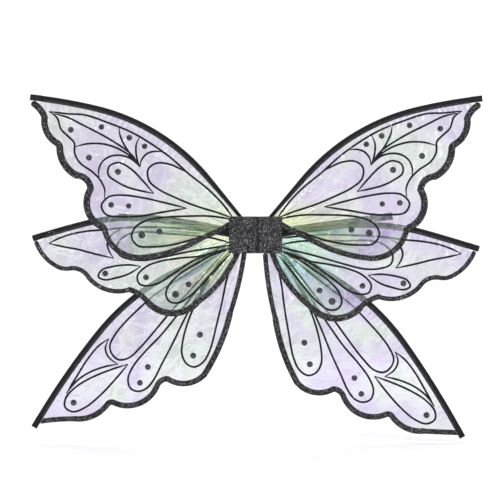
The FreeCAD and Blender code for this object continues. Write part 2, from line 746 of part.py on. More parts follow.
def film_and_border(wing, side_name):
    """The clear film and the glitter ribbon bonded along the front of its trailing edge."""
    side = SIDES[side_name]
    half = size("film_thick") / 2
    core = film_core(wing, side, -half, 2 * half)
    edge = ribbon(wing, side, -half, 2 * half)
    edge = edge.cut(leading_guard(wing, side, SLEEVE_RADIUS, -half, 2 * half))
    film = core.fuse(edge).removeSplitter().cut(cap_guard(wing, side))
    film = max(film.Solids, key=lambda solid: solid.Volume)
    y_front = -half - size("border_thick")
    border = ribbon(wing, side, y_front, size("border_thick"))
    clear_of_hem = size("hem_width") + size("running_fit")
    border = border.cut(leading_guard(wing, side, clear_of_hem, y_front, size("border_thick")))
    border = border.cut([clip_zone(side), cap_guard(wing, side)])
    border = max(border.Solids, key=lambda solid: solid.Volume)
    placement = wing_placement(wing, side_name)
    shaped_part(f"{wing}_film_{side_name}", film, placement)
    shaped_part(f"{wing}_border_{side_name}", border, placement)


def clip_zone(side):
    """The space inside the block that the clips need, which the border stays out of."""
    reach = size("block_half_width") - size("border_width") / 2
    half = size("block_height") / 2 - size("border_width") / 2
    corner = V(0 if side > 0 else -reach, -PITCH, -half)
    return Part.makeBox(reach, 2 * PITCH, 2 * half, corner)


def clip(wing, side_name):
    """The moulded clip at the wing's root: an eye for the rivet, a socket for the rod and a
    jaw for the film."""
    side = SIDES[side_name]
    data = WINGS[wing]
    body = new_body(f"{wing}_clip_{side_name}")
    thick = "2 * (Sizes.rod_radius + Sizes.running_fit + Sizes.sleeve_wall)"
    eye = new_sketch(body, f"{body.Name}_eye", "XZ_Plane")
    add_circle(eye, (side * PIVOT.x, PIVOT.z), "clip_eye_radius")
    pad(body, eye, thick, f"{body.Name}_eye_pad", midplane=True)
    plate = new_sketch(body, f"{body.Name}_plate", "XZ_Plane")
    add_outline(plate, [(side * x, z) for x, z in data["clip"]])
    pad(body, plate, thick, f"{body.Name}_plate_pad", midplane=True)
    hole = new_sketch(body, f"{body.Name}_hole", "XZ_Plane")
    add_circle(hole, (side * PIVOT.x, PIVOT.z), "rivet_radius", " + Sizes.running_fit")
    pocket(body, hole, "4 * Sizes.rod_radius", f"{body.Name}_hole_cut", midplane=True)
    jaw = new_sketch(body, f"{body.Name}_jaw", "XZ_Plane")
    tail = data["trailing"][-1][1]
    start = data["start"]
    far = (start[0] + tail[0], start[1] + tail[1])
    deep = fanned(data["root"][0], 0.95, -3)
    shallow = fanned(data["root"][1], 0.95, 3)
    jaw_corners = [shallow, deep, fanned(tail, 1.4, -6), far, start]
    add_outline(jaw, [(side * x, z) for x, z in jaw_corners])
    pocket(body, jaw, "Sizes.film_thick + 2 * Sizes.running_fit", f"{body.Name}_jaw_cut", midplane=True)
    bore = body.newObject("PartDesign::SubtractiveCylinder", f"{body.Name}_bore")
    bore.setExpression("Radius", "Sizes.rod_radius + Sizes.running_fit")
    bore.setExpression("Height", "Sizes.rod_tail + Sizes.hem_tail")
    along = mirrored(direction(root_heading(wing, side)), side)
    base = point(data["start"], side) - along * size("rod_tail")
    bore.Placement = FreeCAD.Placement(base, FreeCAD.Rotation(V(0, 0, 1), along))
    body.Placement = wing_placement(wing, side_name)


def fanned(xz, factor, turn):
    """The spot moved out from the rivet by the factor and round it by turn degrees."""
    away = (point(xz) - PIVOT) * factor
    angle = math.atan2(away.z, away.x) + math.radians(turn)
    return (PIVOT.x + away.Length * math.cos(angle), PIVOT.z + away.Length * math.sin(angle))


def tip_cap(wing, side_name):
    """The square-cut cap pushed over the rod's tip, as wide as the hem, with the bore near its
    outer edge."""
    side = SIDES[side_name]
    body = new_body(f"{wing}_tip_cap_{side_name}")
    low, high = -size("cap_length"), 0.0
    middle = -side * size("cap_shift")
    near, far = middle - size("cap_width") / 2, middle + size("cap_width") / 2
    outline = new_sketch(body, f"{body.Name}_outline", "XZ_Plane")
    add_outline(outline, [(low, near), (high, near), (high, far), (low, far)])
    pad(body, outline, "Sizes.cap_thick", f"{body.Name}_pad", midplane=True)
    rounded(body, f"{body.Name}_round", lambda edge: True, "edge_round")
    bore = body.newObject("PartDesign::SubtractiveCylinder", f"{body.Name}_bore")
    bore.setExpression("Radius", "Sizes.rod_radius + Sizes.cap_fit")
    bore.setExpression("Height", "Sizes.cap_length - Sizes.cap_wall + Sizes.cap_fit")
    bore.Placement = FreeCAD.Placement(V(low, 0, 0), FreeCAD.Rotation(V(0, 0, 1), V(1, 0, 0)))
    body.Placement = wing_placement(wing, side_name) * cap_placement(wing, side)


# ---------------------------------------------------------------- build, check and write
PARTS = []
for side_name in SIDES:
    back_pad(side_name)
    board(side_name, "rear")
    board(side_name, "front")
    front_cover(side_name)
    spine(side_name)
    rivet(side_name)
    washers(side_name)
    eyelet(side_name)
    shoulder_strap(side_name)
    for wing in WINGS:
        clip(wing, side_name)
        rod(wing, side_name)
        hem(wing, side_name)
        film_and_border(wing, side_name)
        tip_cap(wing, side_name)
seam_welt()
doc.recompute()

for item in doc.Objects:
    if "Invalid" in item.State or "Error" in item.State:
        raise RuntimeError(f"{item.Label} failed: {item.State}")

parts = PARTS + [item for item in doc.Objects if item.TypeId == "PartDesign::Body"]
os.makedirs("parts", exist_ok=True)
for part in parts:
    if part.Shape.isNull() or not part.Shape.isValid():
        raise RuntimeError(f"{part.Label} has no valid shape")
    part.Shape.exportStep(f"parts/{part.Label}.step")
print(len(parts), "sub-parts written")
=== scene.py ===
"""Fairy wings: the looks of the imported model. Metres, in the CAD model's frame."""
import bpy
import bmesh
import json
import math
import random
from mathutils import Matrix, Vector, noise
from mathutils.geometry import delaunay_2d_cdt
from mathutils.kdtree import KDTree


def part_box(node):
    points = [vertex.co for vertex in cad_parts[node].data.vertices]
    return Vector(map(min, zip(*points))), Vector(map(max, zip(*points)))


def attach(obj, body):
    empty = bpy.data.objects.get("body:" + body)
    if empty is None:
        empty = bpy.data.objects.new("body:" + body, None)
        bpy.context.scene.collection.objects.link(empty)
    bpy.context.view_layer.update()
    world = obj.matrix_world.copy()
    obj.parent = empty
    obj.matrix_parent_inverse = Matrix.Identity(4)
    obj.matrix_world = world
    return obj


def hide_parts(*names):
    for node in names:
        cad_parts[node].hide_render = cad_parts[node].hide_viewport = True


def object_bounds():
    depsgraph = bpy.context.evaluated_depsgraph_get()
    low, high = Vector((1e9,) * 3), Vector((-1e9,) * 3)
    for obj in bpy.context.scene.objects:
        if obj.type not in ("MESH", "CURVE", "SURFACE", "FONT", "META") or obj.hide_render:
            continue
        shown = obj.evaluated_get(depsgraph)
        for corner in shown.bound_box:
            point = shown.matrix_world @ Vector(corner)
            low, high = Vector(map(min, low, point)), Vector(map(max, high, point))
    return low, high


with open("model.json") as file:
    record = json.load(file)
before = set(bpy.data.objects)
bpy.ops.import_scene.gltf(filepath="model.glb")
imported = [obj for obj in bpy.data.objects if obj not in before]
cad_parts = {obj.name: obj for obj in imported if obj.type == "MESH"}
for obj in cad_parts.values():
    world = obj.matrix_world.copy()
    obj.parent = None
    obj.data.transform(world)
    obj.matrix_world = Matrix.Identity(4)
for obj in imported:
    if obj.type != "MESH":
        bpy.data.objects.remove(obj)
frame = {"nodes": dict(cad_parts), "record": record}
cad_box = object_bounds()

MM = 0.001
SIDES = {"left": -1, "right": 1}
WINGS = ("upper", "middle", "lower")

# How closely each soft surface is divided.
FILM_GRID = 3.0 * MM
RIBBON_GRID = 1.6 * MM
WRAP_GRID = 1.1 * MM
PAD_GRID = 1.3 * MM
RIM_STEP = 0.8 * MM
ROD_STEP = 2 * MM
ROD_RING = 2 * MM            # a rod's points nearer than this are on one ring
ROD_HEADING = 6 * MM         # how far each way a rod's direction is taken over

# How far the film, and the print on it, has crept up or down half way out along a wing.
PRINT_DRIFT = {("upper", "right"): 3.5 * MM, ("middle", "left"): 6.5 * MM, ("lower", "right"): -10 * MM}
PRINT_STEP = 3.0             # millimetres, as the veins' points are
PRINT_WIDTH = 3.6 * MM
PRINT_TAPER = 22 * MM
PRINT_BACK = 0.05 * MM
PRINT_EDGE = 0.10 * MM
PRINT_LIFT = 0.25 * MM
PRINT_CROWN = (PRINT_EDGE, PRINT_LIFT, PRINT_LIFT * 1.1, PRINT_LIFT, PRINT_EDGE)
# A raised dot's rings, from its back to near its top, as (share of its radius, lift).
DOT_RINGS = ((1.0, PRINT_BACK), (1.0, 0.14 * MM), (0.8, 0.42 * MM), (0.4, 0.62 * MM))
DOT_TOP = 0.68 * MM
DOT_STEPS = 28

HEM_START = 17 * MM
HEM_STOP = 17.9 * MM
# The hem's section, millimetres: in from the rod's middle towards the film, and forward.
HEM_FLAP = [(8.30, 0.30), (8.48, 0.52), (8.15, 0.76), (7.45, 0.84), (6.95, 0.66), (6.45, 0.84),
            (5.2, 0.86), (4.0, 0.98), (3.0, 1.30)]
HEM_BACK = [(2.5, -0.62), (3.3, -0.52)]
HEM_SLEEVE_RADIUS = 2.38
HEM_ROOT = 2.5               # the flap starts this far in from the rod's middle
HEM_CLOTH = 0.33
HEM_STITCH = (6.95, 0.84)
STITCHED = slice(8, -6, 2)   # the stations with a stitch
STITCH_HALF = 1.3 * MM
STITCH_RADIUS = 0.2 * MM

# The ribbon: its back and its edge off the film, and how wide and high its edge rolls.
RIBBON_BACK = 0.12 * MM
RIBBON_EDGE = 0.35 * MM
RIBBON_ROLL = 2.6 * MM
RIBBON_CROWN = 0.55 * MM
RIBBON_GRIT = 0.12 * MM

# The block's glitter cloth: its outline, its edges' roll, its swell, its tuck at the seam.
WRAP_INSET = 0.2 * MM
WRAP_CORNER = 2.2 * MM
WRAP_ROLL = 2.4 * MM
WRAP_DROP = 1.9 * MM
WRAP_FADE = 6 * MM
WRAP_LIFT = 0.3 * MM
WRAP_BULGE = 0.9 * MM
WRAP_SLACK = 0.9 * MM
WRAP_TUCK = 0.5 * MM
WRAP_TUCK_WIDTH = 5 * MM
WRAP_GRIT = 0.18 * MM

PAD_ROLL = 4.5 * MM
PAD_CROWN = 1.3 * MM
PAD_NAP = 0.12 * MM

WELT_ROWS = 260
WELT_CORNERS = 20
WELT_LACING = 2.6 * MM

# The elastic: from its anchor, out along its tilt to where it turns back.
STRAP_TILT = 7.8             # degrees
STRAP_THICK = 0.9 * MM
STRAP_ANCHOR = (47 * MM, 7 * MM)
STRAP_TAIL = 20 * MM
STRAP_REACH = 196 * MM
STRAP_WIDTH = 12.7 * MM
STRAP_BOW = {"left": 4.7 * MM, "right": 0.0}
STRAP_RUN_STEPS = 90
STRAP_TURN_STEPS = 12
STRAP_RIBS = 14
STRAP_RIB = 0.05 * MM
STRAP_BEAD = 0.10 * MM
STRAP_HOLLOW = 0.12 * MM
STRAP_RIPPLE = 0.10 * MM
STRAP_RIPPLE_PITCH = 7 * MM

FOLD_LIMIT = 170             # degrees
FLAKE_ROOM = 0.45 * MM
FLAKE_SIZE = 0.42 * MM
FLAKE_THICK = 0.08 * MM
FLAKE_LIFT = 0.12 * MM
FLAKE_STRAY = 0.5
FLAKE_SHARES = {"ribbon": 0.06, "block": 0.10}     # of the front's spots

FLOOR_GAP = 6 * MM
FLOOR_RADIUS = 2.6
FLOOR_CORNERS = 96
# Name, place, target, width, height, watts.
LIGHTS = [("key", (-1.6, -2.4, 1.9), (0, 0, 0), 1.6, 1.2, 38),
          ("fill", (1.9, -2.2, 0.6), (0, 0, -0.1), 1.2, 1.8, 20),
          ("rim", (0.4, 2.4, 1.6), (0, 0, 0), 1.8, 0.9, 26)]
CAMERA_PLACE = (-0.0097, -3.0, -0.0265)
CAMERA_FIELD = 0.885         # the width that it sees at the origin


# ---- places read from the frame
def joint(name):
    return next(item for item in frame["record"]["behaviour"]["joints"] if item["name"] == name)


def corners(node):
    """The CAD node's lowest and highest corners, at rest."""
    return tuple(Vector(corner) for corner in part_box(node))


def pivot_of(wing, side):
    return Vector(joint(f"{wing}_{side}_fan")["pos_m"])


def body_name(wing, side):
    return f"{wing}_wing_{side}"


def film_plane(wing, side):
    low, high = corners(f"{wing}_film_{side}")
    return (low.y + high.y) / 2


def tip_of(wing, side):
    """The middle of the wing's tip cap, from its rivet."""
    low, high = corners(f"{wing}_tip_cap_{side}")
    return (low + high) / 2 - pivot_of(wing, side)


def droop_of(wing, side):
    """How far the right hand wing hangs below the left one, read from the two rods' tips."""
    if wing == "upper" or side == "left":
        return 0.0
    left, right = (tip_of(wing, name) for name in ("left", "right"))
    return math.atan2(left.z, abs(left.x)) - math.atan2(right.z, abs(right.x))


DROOPS = {(wing, side): droop_of(wing, side) for wing in WINGS for side in SIDES}


def placed(xz, wing, side):
    """A spot of the wing's plane, given in millimetres on an undrooped right hand wing."""
    sign = SIDES[side]
    pivot = pivot_of(wing, side)
    x, z = xz[0] * MM - abs(pivot.x), xz[1] * MM - pivot.z
    share = min(1.0, math.hypot(x, z) / tip_of(wing, side).length)
    z += PRINT_DRIFT.get((wing, side), 0.0) * math.sin(math.pi * share)
    droop = DROOPS[wing, side]
    turned_x = x * math.cos(droop) + z * math.sin(droop)
    turned_z = z * math.cos(droop) - x * math.sin(droop)
    return sign * (turned_x + abs(pivot.x)), turned_z + pivot.z


# ---- the printed veins, millimetres
# Each curve is a list of points on an undrooped right hand wing. A closed drop starts and ends at
# its point. Dots are (x, z, radius).
VEINS = {
    "upper": {"curves": [
        [(363, 217), (330, 213), (300, 211), (261, 198), (219, 181), (183, 160), (147, 134), (118, 108),
         (84, 81), (60, 57), (45, 38), (38, 27)],
        [(363, 217), (349, 206), (342, 186), (328, 172), (319, 162), (318, 143), (308, 126), (287, 111),
         (272, 95), (265, 78), (266, 64)],
        [(121, 47), (157, 56), (196, 65), (235, 70), (258, 67), (271, 52), (263, 36), (235, 32),
         (204, 33), (164, 40), (121, 47)],
        [(354, 213), (331, 207), (305, 194), (256, 168), (219, 142), (203, 119)],
        [(317, 155), (298, 160), (268, 160), (238, 150), (218, 136), (203, 119)],
        [(240, 189), (239, 178), (230, 157), (212, 131), (203, 119)],
        [(204, 172), (210, 158), (209, 137), (203, 119)],
        [(203, 119), (201, 131), (191, 143), (178, 147), (162, 146)],
        [(203, 119), (219, 134), (238, 140), (256, 138), (270, 128), (276, 113), (275, 100)],
        [(179, 73), (198, 95), (219, 116), (240, 127), (257, 121), (259, 106), (243, 93), (222, 83),
         (179, 73)],
        [(121, 110), (150, 124), (175, 126), (189, 115), (187, 95), (170, 80), (144, 67), (105, 51),
         (66, 39), (39, 29)],
        [(39, 27), (79, 33), (118, 33), (160, 31), (190, 26), (211, 14), (218, -3), (207, -19),
         (185, -21), (150, -18), (105, -6), (72, 7), (44, 17)],
    ], "dots": [
        (254, 53, 5.2), (223, 51, 4.8), (242, 111, 5.6), (200, 0, 6.2), (169, 6, 5.2), (325, 185, 5.2),
        (271, 190, 5.0), (222, 171, 5.2), (195, 156, 5.0), (293, 136, 5.4)
    ]},
    "middle": {"curves": [
        [(364, -16), (349, -9), (326, -2), (300, 2), (261, 4), (220, 7), (160, 7), (100, 4), (42, -5)],
        [(364, -16), (339, -23), (313, -29), (287, -37), (250, -47)],
        [(250, -47), (258, -34), (261, -20), (252, -4), (238, 3)],
        [(44, -16), (80, -8), (150, -4), (205, -1), (228, -7), (243, -22), (241, -40), (222, -49),
         (195, -51), (162, -45), (115, -34), (75, -26), (44, -20)],
        [(202, -62), (222, -59), (250, -61), (271, -67), (277, -78), (266, -84), (245, -81), (224, -75),
         (202, -62)],
        [(46, -25), (98, -42), (130, -46), (165, -52), (192, -62), (208, -78), (205, -92), (192, -96),
         (170, -91), (140, -71), (105, -48), (88, -42)],
        [(46, -28), (76, -39), (104, -56), (132, -74), (152, -94), (158, -112), (151, -124),
         (136, -126), (116, -114), (90, -88), (64, -58), (44, -36)],
    ], "dots": [
        (265, -73, 5.4), (193, -81, 5.2), (118, -93, 5.4), (141, -111, 6.3)
    ]},
    "lower": {"curves": [
        [(37, -30), (51, -79), (59, -118), (69, -160), (80, -202), (92, -224), (108, -233), (122, -227),
         (130, -210), (128, -185), (118, -150), (104, -118), (78, -74), (45, -32)],
        [(46, -28), (86, -80), (122, -142), (147, -193), (165, -227), (180, -256), (193, -271),
         (208, -276), (221, -270), (225, -254), (216, -232), (196, -207), (168, -178), (140, -144),
         (104, -98), (50, -32)],
        [(52, -28), (110, -92), (150, -136), (176, -167), (201, -196), (224, -217), (242, -220),
         (254, -209), (257, -195), (248, -176), (232, -156), (210, -134), (176, -104), (110, -62),
         (54, -26)],
        [(259, -183), (277, -196), (297, -220), (314, -247), (334, -280)],
        [(259, -183), (265, -200), (259, -216), (243, -228)],
        [(243, -228), (268, -233), (296, -244), (318, -260), (334, -280)],
        [(225, -228), (256, -238), (290, -252), (318, -269), (335, -288), (336, -304), (322, -312),
         (300, -304), (272, -281), (246, -253), (225, -228)],
    ], "dots": [
        (98, -176, 5.4), (110, -213, 5.4), (190, -233, 5.2), (204, -261, 5.2), (321, -296, 5.5)
    ]},
}


# ---- shader nodes
def add(tree, kind, inputs=None, **settings):
    """A node with these settings. Each input is linked to the output, or has the value, given."""
    node = tree.nodes.new("ShaderNode" + kind)
    for key, value in settings.items():
        setattr(node, key, value)
    for key, value in (inputs or {}).items():
        if isinstance(value, bpy.types.NodeSocket):
            tree.links.new(value, node.inputs[key])
        else:
            node.inputs[key].default_value = value
    return node


def ramp(tree, factor, stops):
    node = add(tree, "ValToRGB", {"Fac": factor})
    while len(node.color_ramp.elements) < len(stops):
        node.color_ramp.elements.new(0.5)
    for element, (place, colour) in zip(node.color_ramp.elements, stops):
        element.position = place
        element.color = (*colour, 1.0)
    return node.outputs["Color"]


def noise_texture(tree, vector, scale, detail=3.0, roughness=0.5, distortion=0.0):
    return add(tree, "TexNoise", {
        "Vector": vector, "Scale": scale, "Detail": detail, "Roughness": roughness,
        "Distortion": distortion}).outputs["Fac"]


def cells_texture(tree, vector, scale, output="Color"):
    return add(tree, "TexVoronoi", {"Vector": vector, "Scale": scale}).outputs[output]


def wave_texture(tree, vector, scale, distortion, direction):
    return add(tree, "TexWave", {
        "Vector": vector, "Scale": scale, "Distortion": distortion,
    }, bands_direction=direction).outputs["Fac"]


def bump(tree, height, strength, distance, normal=None):
    inputs = {"Height": height, "Strength": strength, "Distance": distance}
    if normal is not None:
        inputs["Normal"] = normal
    return add(tree, "Bump", inputs).outputs["Normal"]


def math_node(tree, operation, *values):
    return add(tree, "Math", dict(enumerate(values)), operation=operation).outputs["Value"]


def fall(tree, value, low, high):
    """1 below low, 0 above high, smooth between."""
    return add(tree, "MapRange", {
        "Value": value, "From Min": low, "From Max": high, "To Min": 1.0, "To Max": 0.0,
    }, interpolation_type="SMOOTHSTEP").outputs["Result"]


def mixed(tree, factor, first, second, blend="MIX"):
    return add(tree, "Mix", {"Factor": factor, 6: first, 7: second},
               data_type="RGBA", blend_type=blend).outputs[2]


def principled(tree, base, normal=None, **values):
    inputs = {key.replace("_", " "): value for key, value in values.items()}
    inputs["Base Color"] = base
    if normal is not None:
        inputs["Normal"] = normal
    return add(tree, "BsdfPrincipled", inputs).outputs["BSDF"]


def new_material(name):
    """An empty material, its node tree, and the object's own coordinates there."""
    material = bpy.data.materials.new(name)
    material.use_nodes = True
    tree = material.node_tree
    tree.nodes.clear()
    return material, tree, add(tree, "TexCoord").outputs["Object"]


def surfaced(material, base, normal=None, **values):
    """The material, with a Principled surface."""
    tree = material.node_tree
    add(tree, "OutputMaterial", {"Surface": principled(tree, base, normal, **values)})
    return material


def times(factor, colour):
    return tuple(factor * channel for channel in colour)


# ---- materials
def fan_coordinates(tree, vector):
    """A vector that runs round the rivets and out from them, the distance out, and the place."""
    place = add(tree, "SeparateXYZ", {"Vector": vector}).outputs
    pivot = pivot_of("upper", "right")
    out = math_node(tree, "SUBTRACT", math_node(tree, "ABSOLUTE", place["X"]), pivot.x)
    up = math_node(tree, "SUBTRACT", place["Z"], pivot.z)
    angle = math_node(tree, "ARCTAN2", up, out)
    up_squared = math_node(tree, "MULTIPLY", up, up)
    reach = math_node(tree, "SQRT", math_node(tree, "MULTIPLY_ADD", out, out, up_squared))
    fan = add(tree, "CombineXYZ", {
        "X": math_node(tree, "MULTIPLY", angle, 13.0), "Y": math_node(tree, "MULTIPLY", reach, 9.0),
        "Z": math_node(tree, "MULTIPLY", place["X"], 4.0)})
    return fan.outputs["Vector"], reach, place


def film_material(name, streaks, tints, lilac):
    """Clear dichroic film: lilac to look through and green in what it throws back, in broad
    patches. Near the block, fanning streaks of painted crease highlights and shade, green and
    white, are mixed into both colours as strongly as streaks says. The tints of these painted
    streaks, and how far the patches lean to lilac, are given as (left, right)."""
    material, tree, vector = new_material(name)
    fan, reach, place = fan_coordinates(tree, vector)
    on_left = fall(tree, place["X"], -0.02, 0.02)
    lean = math_node(tree, "MULTIPLY_ADD", on_left, lilac[0] - lilac[1], lilac[1])
    broad = math_node(tree, "ADD", noise_texture(tree, vector, 9.0, 1.5, 0.45, 0.7), lean)
    streak = noise_texture(tree, fan, 1.0, 2.5, 0.5, 0.3)
    through = ramp(tree, broad, [
        (0.34, (0.88, 0.89, 0.90)), (0.42, (0.93, 0.87, 0.97)), (0.49, (0.90, 0.81, 1.00)),
        (0.57, (0.86, 0.73, 1.00)), (0.65, (0.89, 0.77, 1.00)), (0.74, (0.94, 0.89, 0.98))])
    thrown = ramp(tree, broad, [
        (0.34, (0.54, 0.70, 0.60)), (0.46, (0.54, 0.68, 0.62)), (0.57, (0.52, 0.56, 0.60)),
        (0.66, (0.52, 0.60, 0.58)), (0.76, (0.58, 0.70, 0.64))])
    # Painted crease highlights and shade: the reflected colour of the fanning streaks, dark green to
    # pale.
    painted_crease_reflection = ramp(tree, streak, [
        (0.30, (0.12, 0.24, 0.14)), (0.40, (0.30, 0.50, 0.32)), (0.48, (0.66, 0.78, 0.52)),
        (0.54, (0.72, 0.80, 0.72)), (0.60, (0.42, 0.64, 0.60)), (0.70, (0.16, 0.36, 0.35))])
    # Painted crease highlights and shade in the colour seen through the film: green streaks and white
    # ones.
    painted_crease_transmission = ramp(tree, streak, [
        (0.30, (0.46, 0.60, 0.48)), (0.42, (0.76, 0.84, 0.72)), (0.54, (0.96, 0.93, 0.96)),
        (0.62, (0.72, 0.84, 0.84)), (0.72, (0.50, 0.66, 0.66))])
    near = fall(tree, reach, 0.06, 0.21)
    below = fall(tree, place["Z"], 0.025, 0.075)
    # Where the painted crease streaks show: near the block, low down, as strongly as streaks says.
    painted_crease_zone = math_node(tree, "MULTIPLY", math_node(tree, "MULTIPLY", near, below), streaks)
    tint = ramp(tree, on_left, [(0.0, tints[1]), (1.0, tints[0])])
    painted_crease_reflection, painted_crease_transmission = (mixed(tree, 1.0, colour, tint, "MULTIPLY") for colour in (painted_crease_reflection, painted_crease_transmission))
    clear = add(tree, "BsdfTransparent", {"Color": mixed(tree, painted_crease_zone, through, painted_crease_transmission)})
    fanned = bump(tree, math_node(tree, "MULTIPLY", streak, near), 0.4, 0.01)
    folded = bump(tree, cells_texture(tree, vector, 26.0, "Distance"), 0.22, 0.012, fanned)
    crinkled = bump(tree, noise_texture(tree, vector, 34.0, 2.5, 0.5, 1.1), 0.45, 0.006, folded)
    shine = principled(tree, mixed(tree, painted_crease_zone, thrown, painted_crease_reflection), crinkled, Metallic=1.0, Roughness=0.18)
    mix = add(tree, "MixShader", {"Fac": 0.40, 1: clear.outputs["BSDF"], 2: shine})
    add(tree, "OutputMaterial", {"Surface": mix.outputs["Shader"]})
    return material


def glitter_material(name, dark, bright, cell):
    """Black cloth crusted with flakes, each turned its own way; a few are painted bright as glints."""
    material, tree, vector = new_material(name)
    cells = cells_texture(tree, vector, 1.0 / cell)
    # Painted glints: the last cells of the ramp are painted up to bright, standing in for flakes
    # catching the light.
    shade = ramp(tree, cells, [
        (0.0, dark), (0.66, times(1.8, dark)), (0.80, times(0.22, bright)), (0.93, bright)])
    tilt = bump(tree, cells, 0.8, cell * 0.5)
    normal = bump(tree, noise_texture(tree, vector, 60.0), 0.4, 0.001, tilt)
    return surfaced(material, shade, normal, Roughness=0.45, Specular_IOR_Level=0.14)


def flake_material():
    """Loose glitter: dark mirror platelets, some of them silver."""
    material, tree, vector = new_material("glitter_flake")
    tone = ramp(tree, cells_texture(tree, vector, 700.0), [
        (0.25, (0.03, 0.03, 0.035)), (0.55, (0.16, 0.16, 0.17)), (0.85, (0.75, 0.76, 0.80))])
    return surfaced(material, tone, Metallic=1.0, Roughness=0.22)


def woven_material(name, colour, pitch, roughness=0.75, sheen=0.25):
    """Plain weave: crossed waves one thread apart, with uneven dye."""
    material, tree, vector = new_material(name)
    waves = [wave_texture(tree, vector, 0.31 / pitch, 0.6, direction) for direction in ("X", "Z")]
    base = ramp(tree, noise_texture(tree, vector, 40.0, 4.0), [
        (0.3, times(0.72, colour)), (0.5, colour), (0.72, times(1.35, colour))])
    normal = bump(tree, math_node(tree, "MULTIPLY", *waves), 0.55, pitch * 0.4)
    return surfaced(material, base, normal, Roughness=roughness, Sheen_Weight=sheen,
                    Specular_IOR_Level=0.35)


def print_material():
    """Charcoal ink on the film, slightly glossy, thinner in places."""
    material, tree, vector = new_material("vein_ink")
    patchy = noise_texture(tree, vector, 130.0, 4.0)
    base = ramp(tree, patchy, [
        (0.3, (0.005, 0.005, 0.008)), (0.6, (0.012, 0.011, 0.016)), (0.8, (0.034, 0.033, 0.040))])
    normal = bump(tree, patchy, 0.2, 0.0006)
    return surfaced(material, base, normal, Roughness=0.5, Specular_IOR_Level=0.14)


def bead_material():
    """The raised dots: glossy black glitter glue, lumpy, with a few flecks painted bright as glints."""
    material, tree, vector = new_material("glitter_glue")
    # Painted glints: the brightest cells stand in for flecks catching the light.
    base = ramp(tree, cells_texture(tree, vector, 1400.0), [
        (0.0, (0.006, 0.006, 0.008)), (0.72, (0.012, 0.012, 0.015)), (0.90, (0.30, 0.30, 0.32))])
    normal = bump(tree, noise_texture(tree, vector, 420.0, 2.0), 0.3, 0.0006)
    return surfaced(material, base, normal, Roughness=0.22)


def moulded_material(name, colour, roughness):
    """Moulded plastic with a fine spark-eroded grain and rubbed patches."""
    material, tree, vector = new_material(name)
    rubbed = tuple(1.7 * channel + 0.004 for channel in colour)
    base = ramp(tree, noise_texture(tree, vector, 70.0, 4.0), [(0.35, colour), (0.7, rubbed)])
    normal = bump(tree, noise_texture(tree, vector, 1400.0, 2.0), 0.25, 0.0002)
    return surfaced(material, base, normal, Roughness=roughness, Specular_IOR_Level=0.2)


def steel_material():
    """Plated steel with a faint swirl of tool marks."""
    material, tree, vector = new_material("plated_steel")
    marks = noise_texture(tree, vector, 900.0, 3.0, 0.6, 2.0)
    tone = ramp(tree, marks, [(0.3, (0.46, 0.46, 0.48)), (0.7, (0.66, 0.66, 0.67))])
    return surfaced(material, tone, bump(tree, marks, 0.15, 0.0002), Metallic=1.0, Roughness=0.28)


def felt_material():
    """Pressed felt: matted fibres and a soft bloom of sheen."""
    material, tree, vector = new_material("pressed_felt")
    fibres = noise_texture(tree, vector, 420.0, 6.0, 0.7, 1.5)
    base = ramp(tree, fibres, [(0.3, (0.012, 0.012, 0.013)), (0.7, (0.045, 0.045, 0.048))])
    normal = bump(tree, fibres, 0.8, 0.0012)
    return surfaced(material, base, normal, Roughness=0.95, Sheen_Weight=0.6)


def floor_material():
    """Pale and faintly mottled, as bright as the backdrop."""
    material, tree, vector = new_material("pale_floor")
    base = ramp(tree, noise_texture(tree, vector, 6.0), [
        (0.3, (0.93, 0.93, 0.93)), (0.7, (0.97, 0.97, 0.97))])
    return surfaced(material, base, Roughness=0.8, Emission_Color=(1, 1, 1, 1), Emission_Strength=0.10)


# ---- meshes
def new_object(name, points, faces, material, smooth=True, outward=False):
    """A piece with this mesh, its faces turned outward where that is asked."""
    mesh = bpy.data.meshes.new(name)
    mesh.from_pydata(points, [], faces)
    if outward:
        turned = bmesh.new()
        turned.from_mesh(mesh)
        bmesh.ops.recalc_face_normals(turned, faces=turned.faces)
        turned.to_mesh(mesh)
        turned.free()
    mesh.materials.append(material)
    if smooth:
        mesh.polygons.foreach_set("use_smooth", [True] * len(mesh.polygons))
    piece = bpy.data.objects.new(name, mesh)
    bpy.context.scene.collection.objects.link(piece)
    return piece


def tube_faces(rings, size, base=0):
    """The sides of a tube whose points are rings of this size, one after another."""
    faces = []
    for ring in range(rings - 1):
        low, high = base + ring * size, base + (ring + 1) * size
        for column in range(size):
            follow = (column + 1) % size
            faces.append((low + column, low + follow, high + follow, high + column))
    return faces


def closed_tube(rings, size):
    """The sides of such a tube, and its two ends."""
    points = range(rings * size)
    return tube_faces(rings, size) + [tuple(points[:size]), tuple(reversed(points[-size:]))]


def hexagon(centre, first, second, radius):
    """Six points round the centre, in the plane of the two unit vectors."""
    angles = [math.pi * corner / 3 for corner in range(6)]
    return [centre + (first * math.cos(a) + second * math.sin(a)) * radius for a in angles]


def search_tree(spots):
    """Finds the nearest of the (x, z) spots to a place (x, 0, z)."""
    tree = KDTree(len(spots))
    for index, (x, z) in enumerate(spots):
        tree.insert((x, 0, z), index)
    tree.balance()
    return tree


def rim_distance(loops):
    """A function of (x, z) that says how far the spot is from the loops."""
    rim = search_tree([spot for loop in loops for spot in subdivided(loop, RIM_STEP)])
    return lambda x, z: rim.find((x, 0, z))[2]


def welded(mesh):
    """The mesh's separate places, and which of them each vertex is at."""
    places, where = {}, []
    for vertex in mesh.vertices:
        mark = tuple(round(value, 6) for value in vertex.co)
        where.append(places.setdefault(mark, len(places)))
    return list(places), where


def noise_at(first, second, seed):
    return noise.noise(Vector((first, second, seed)))


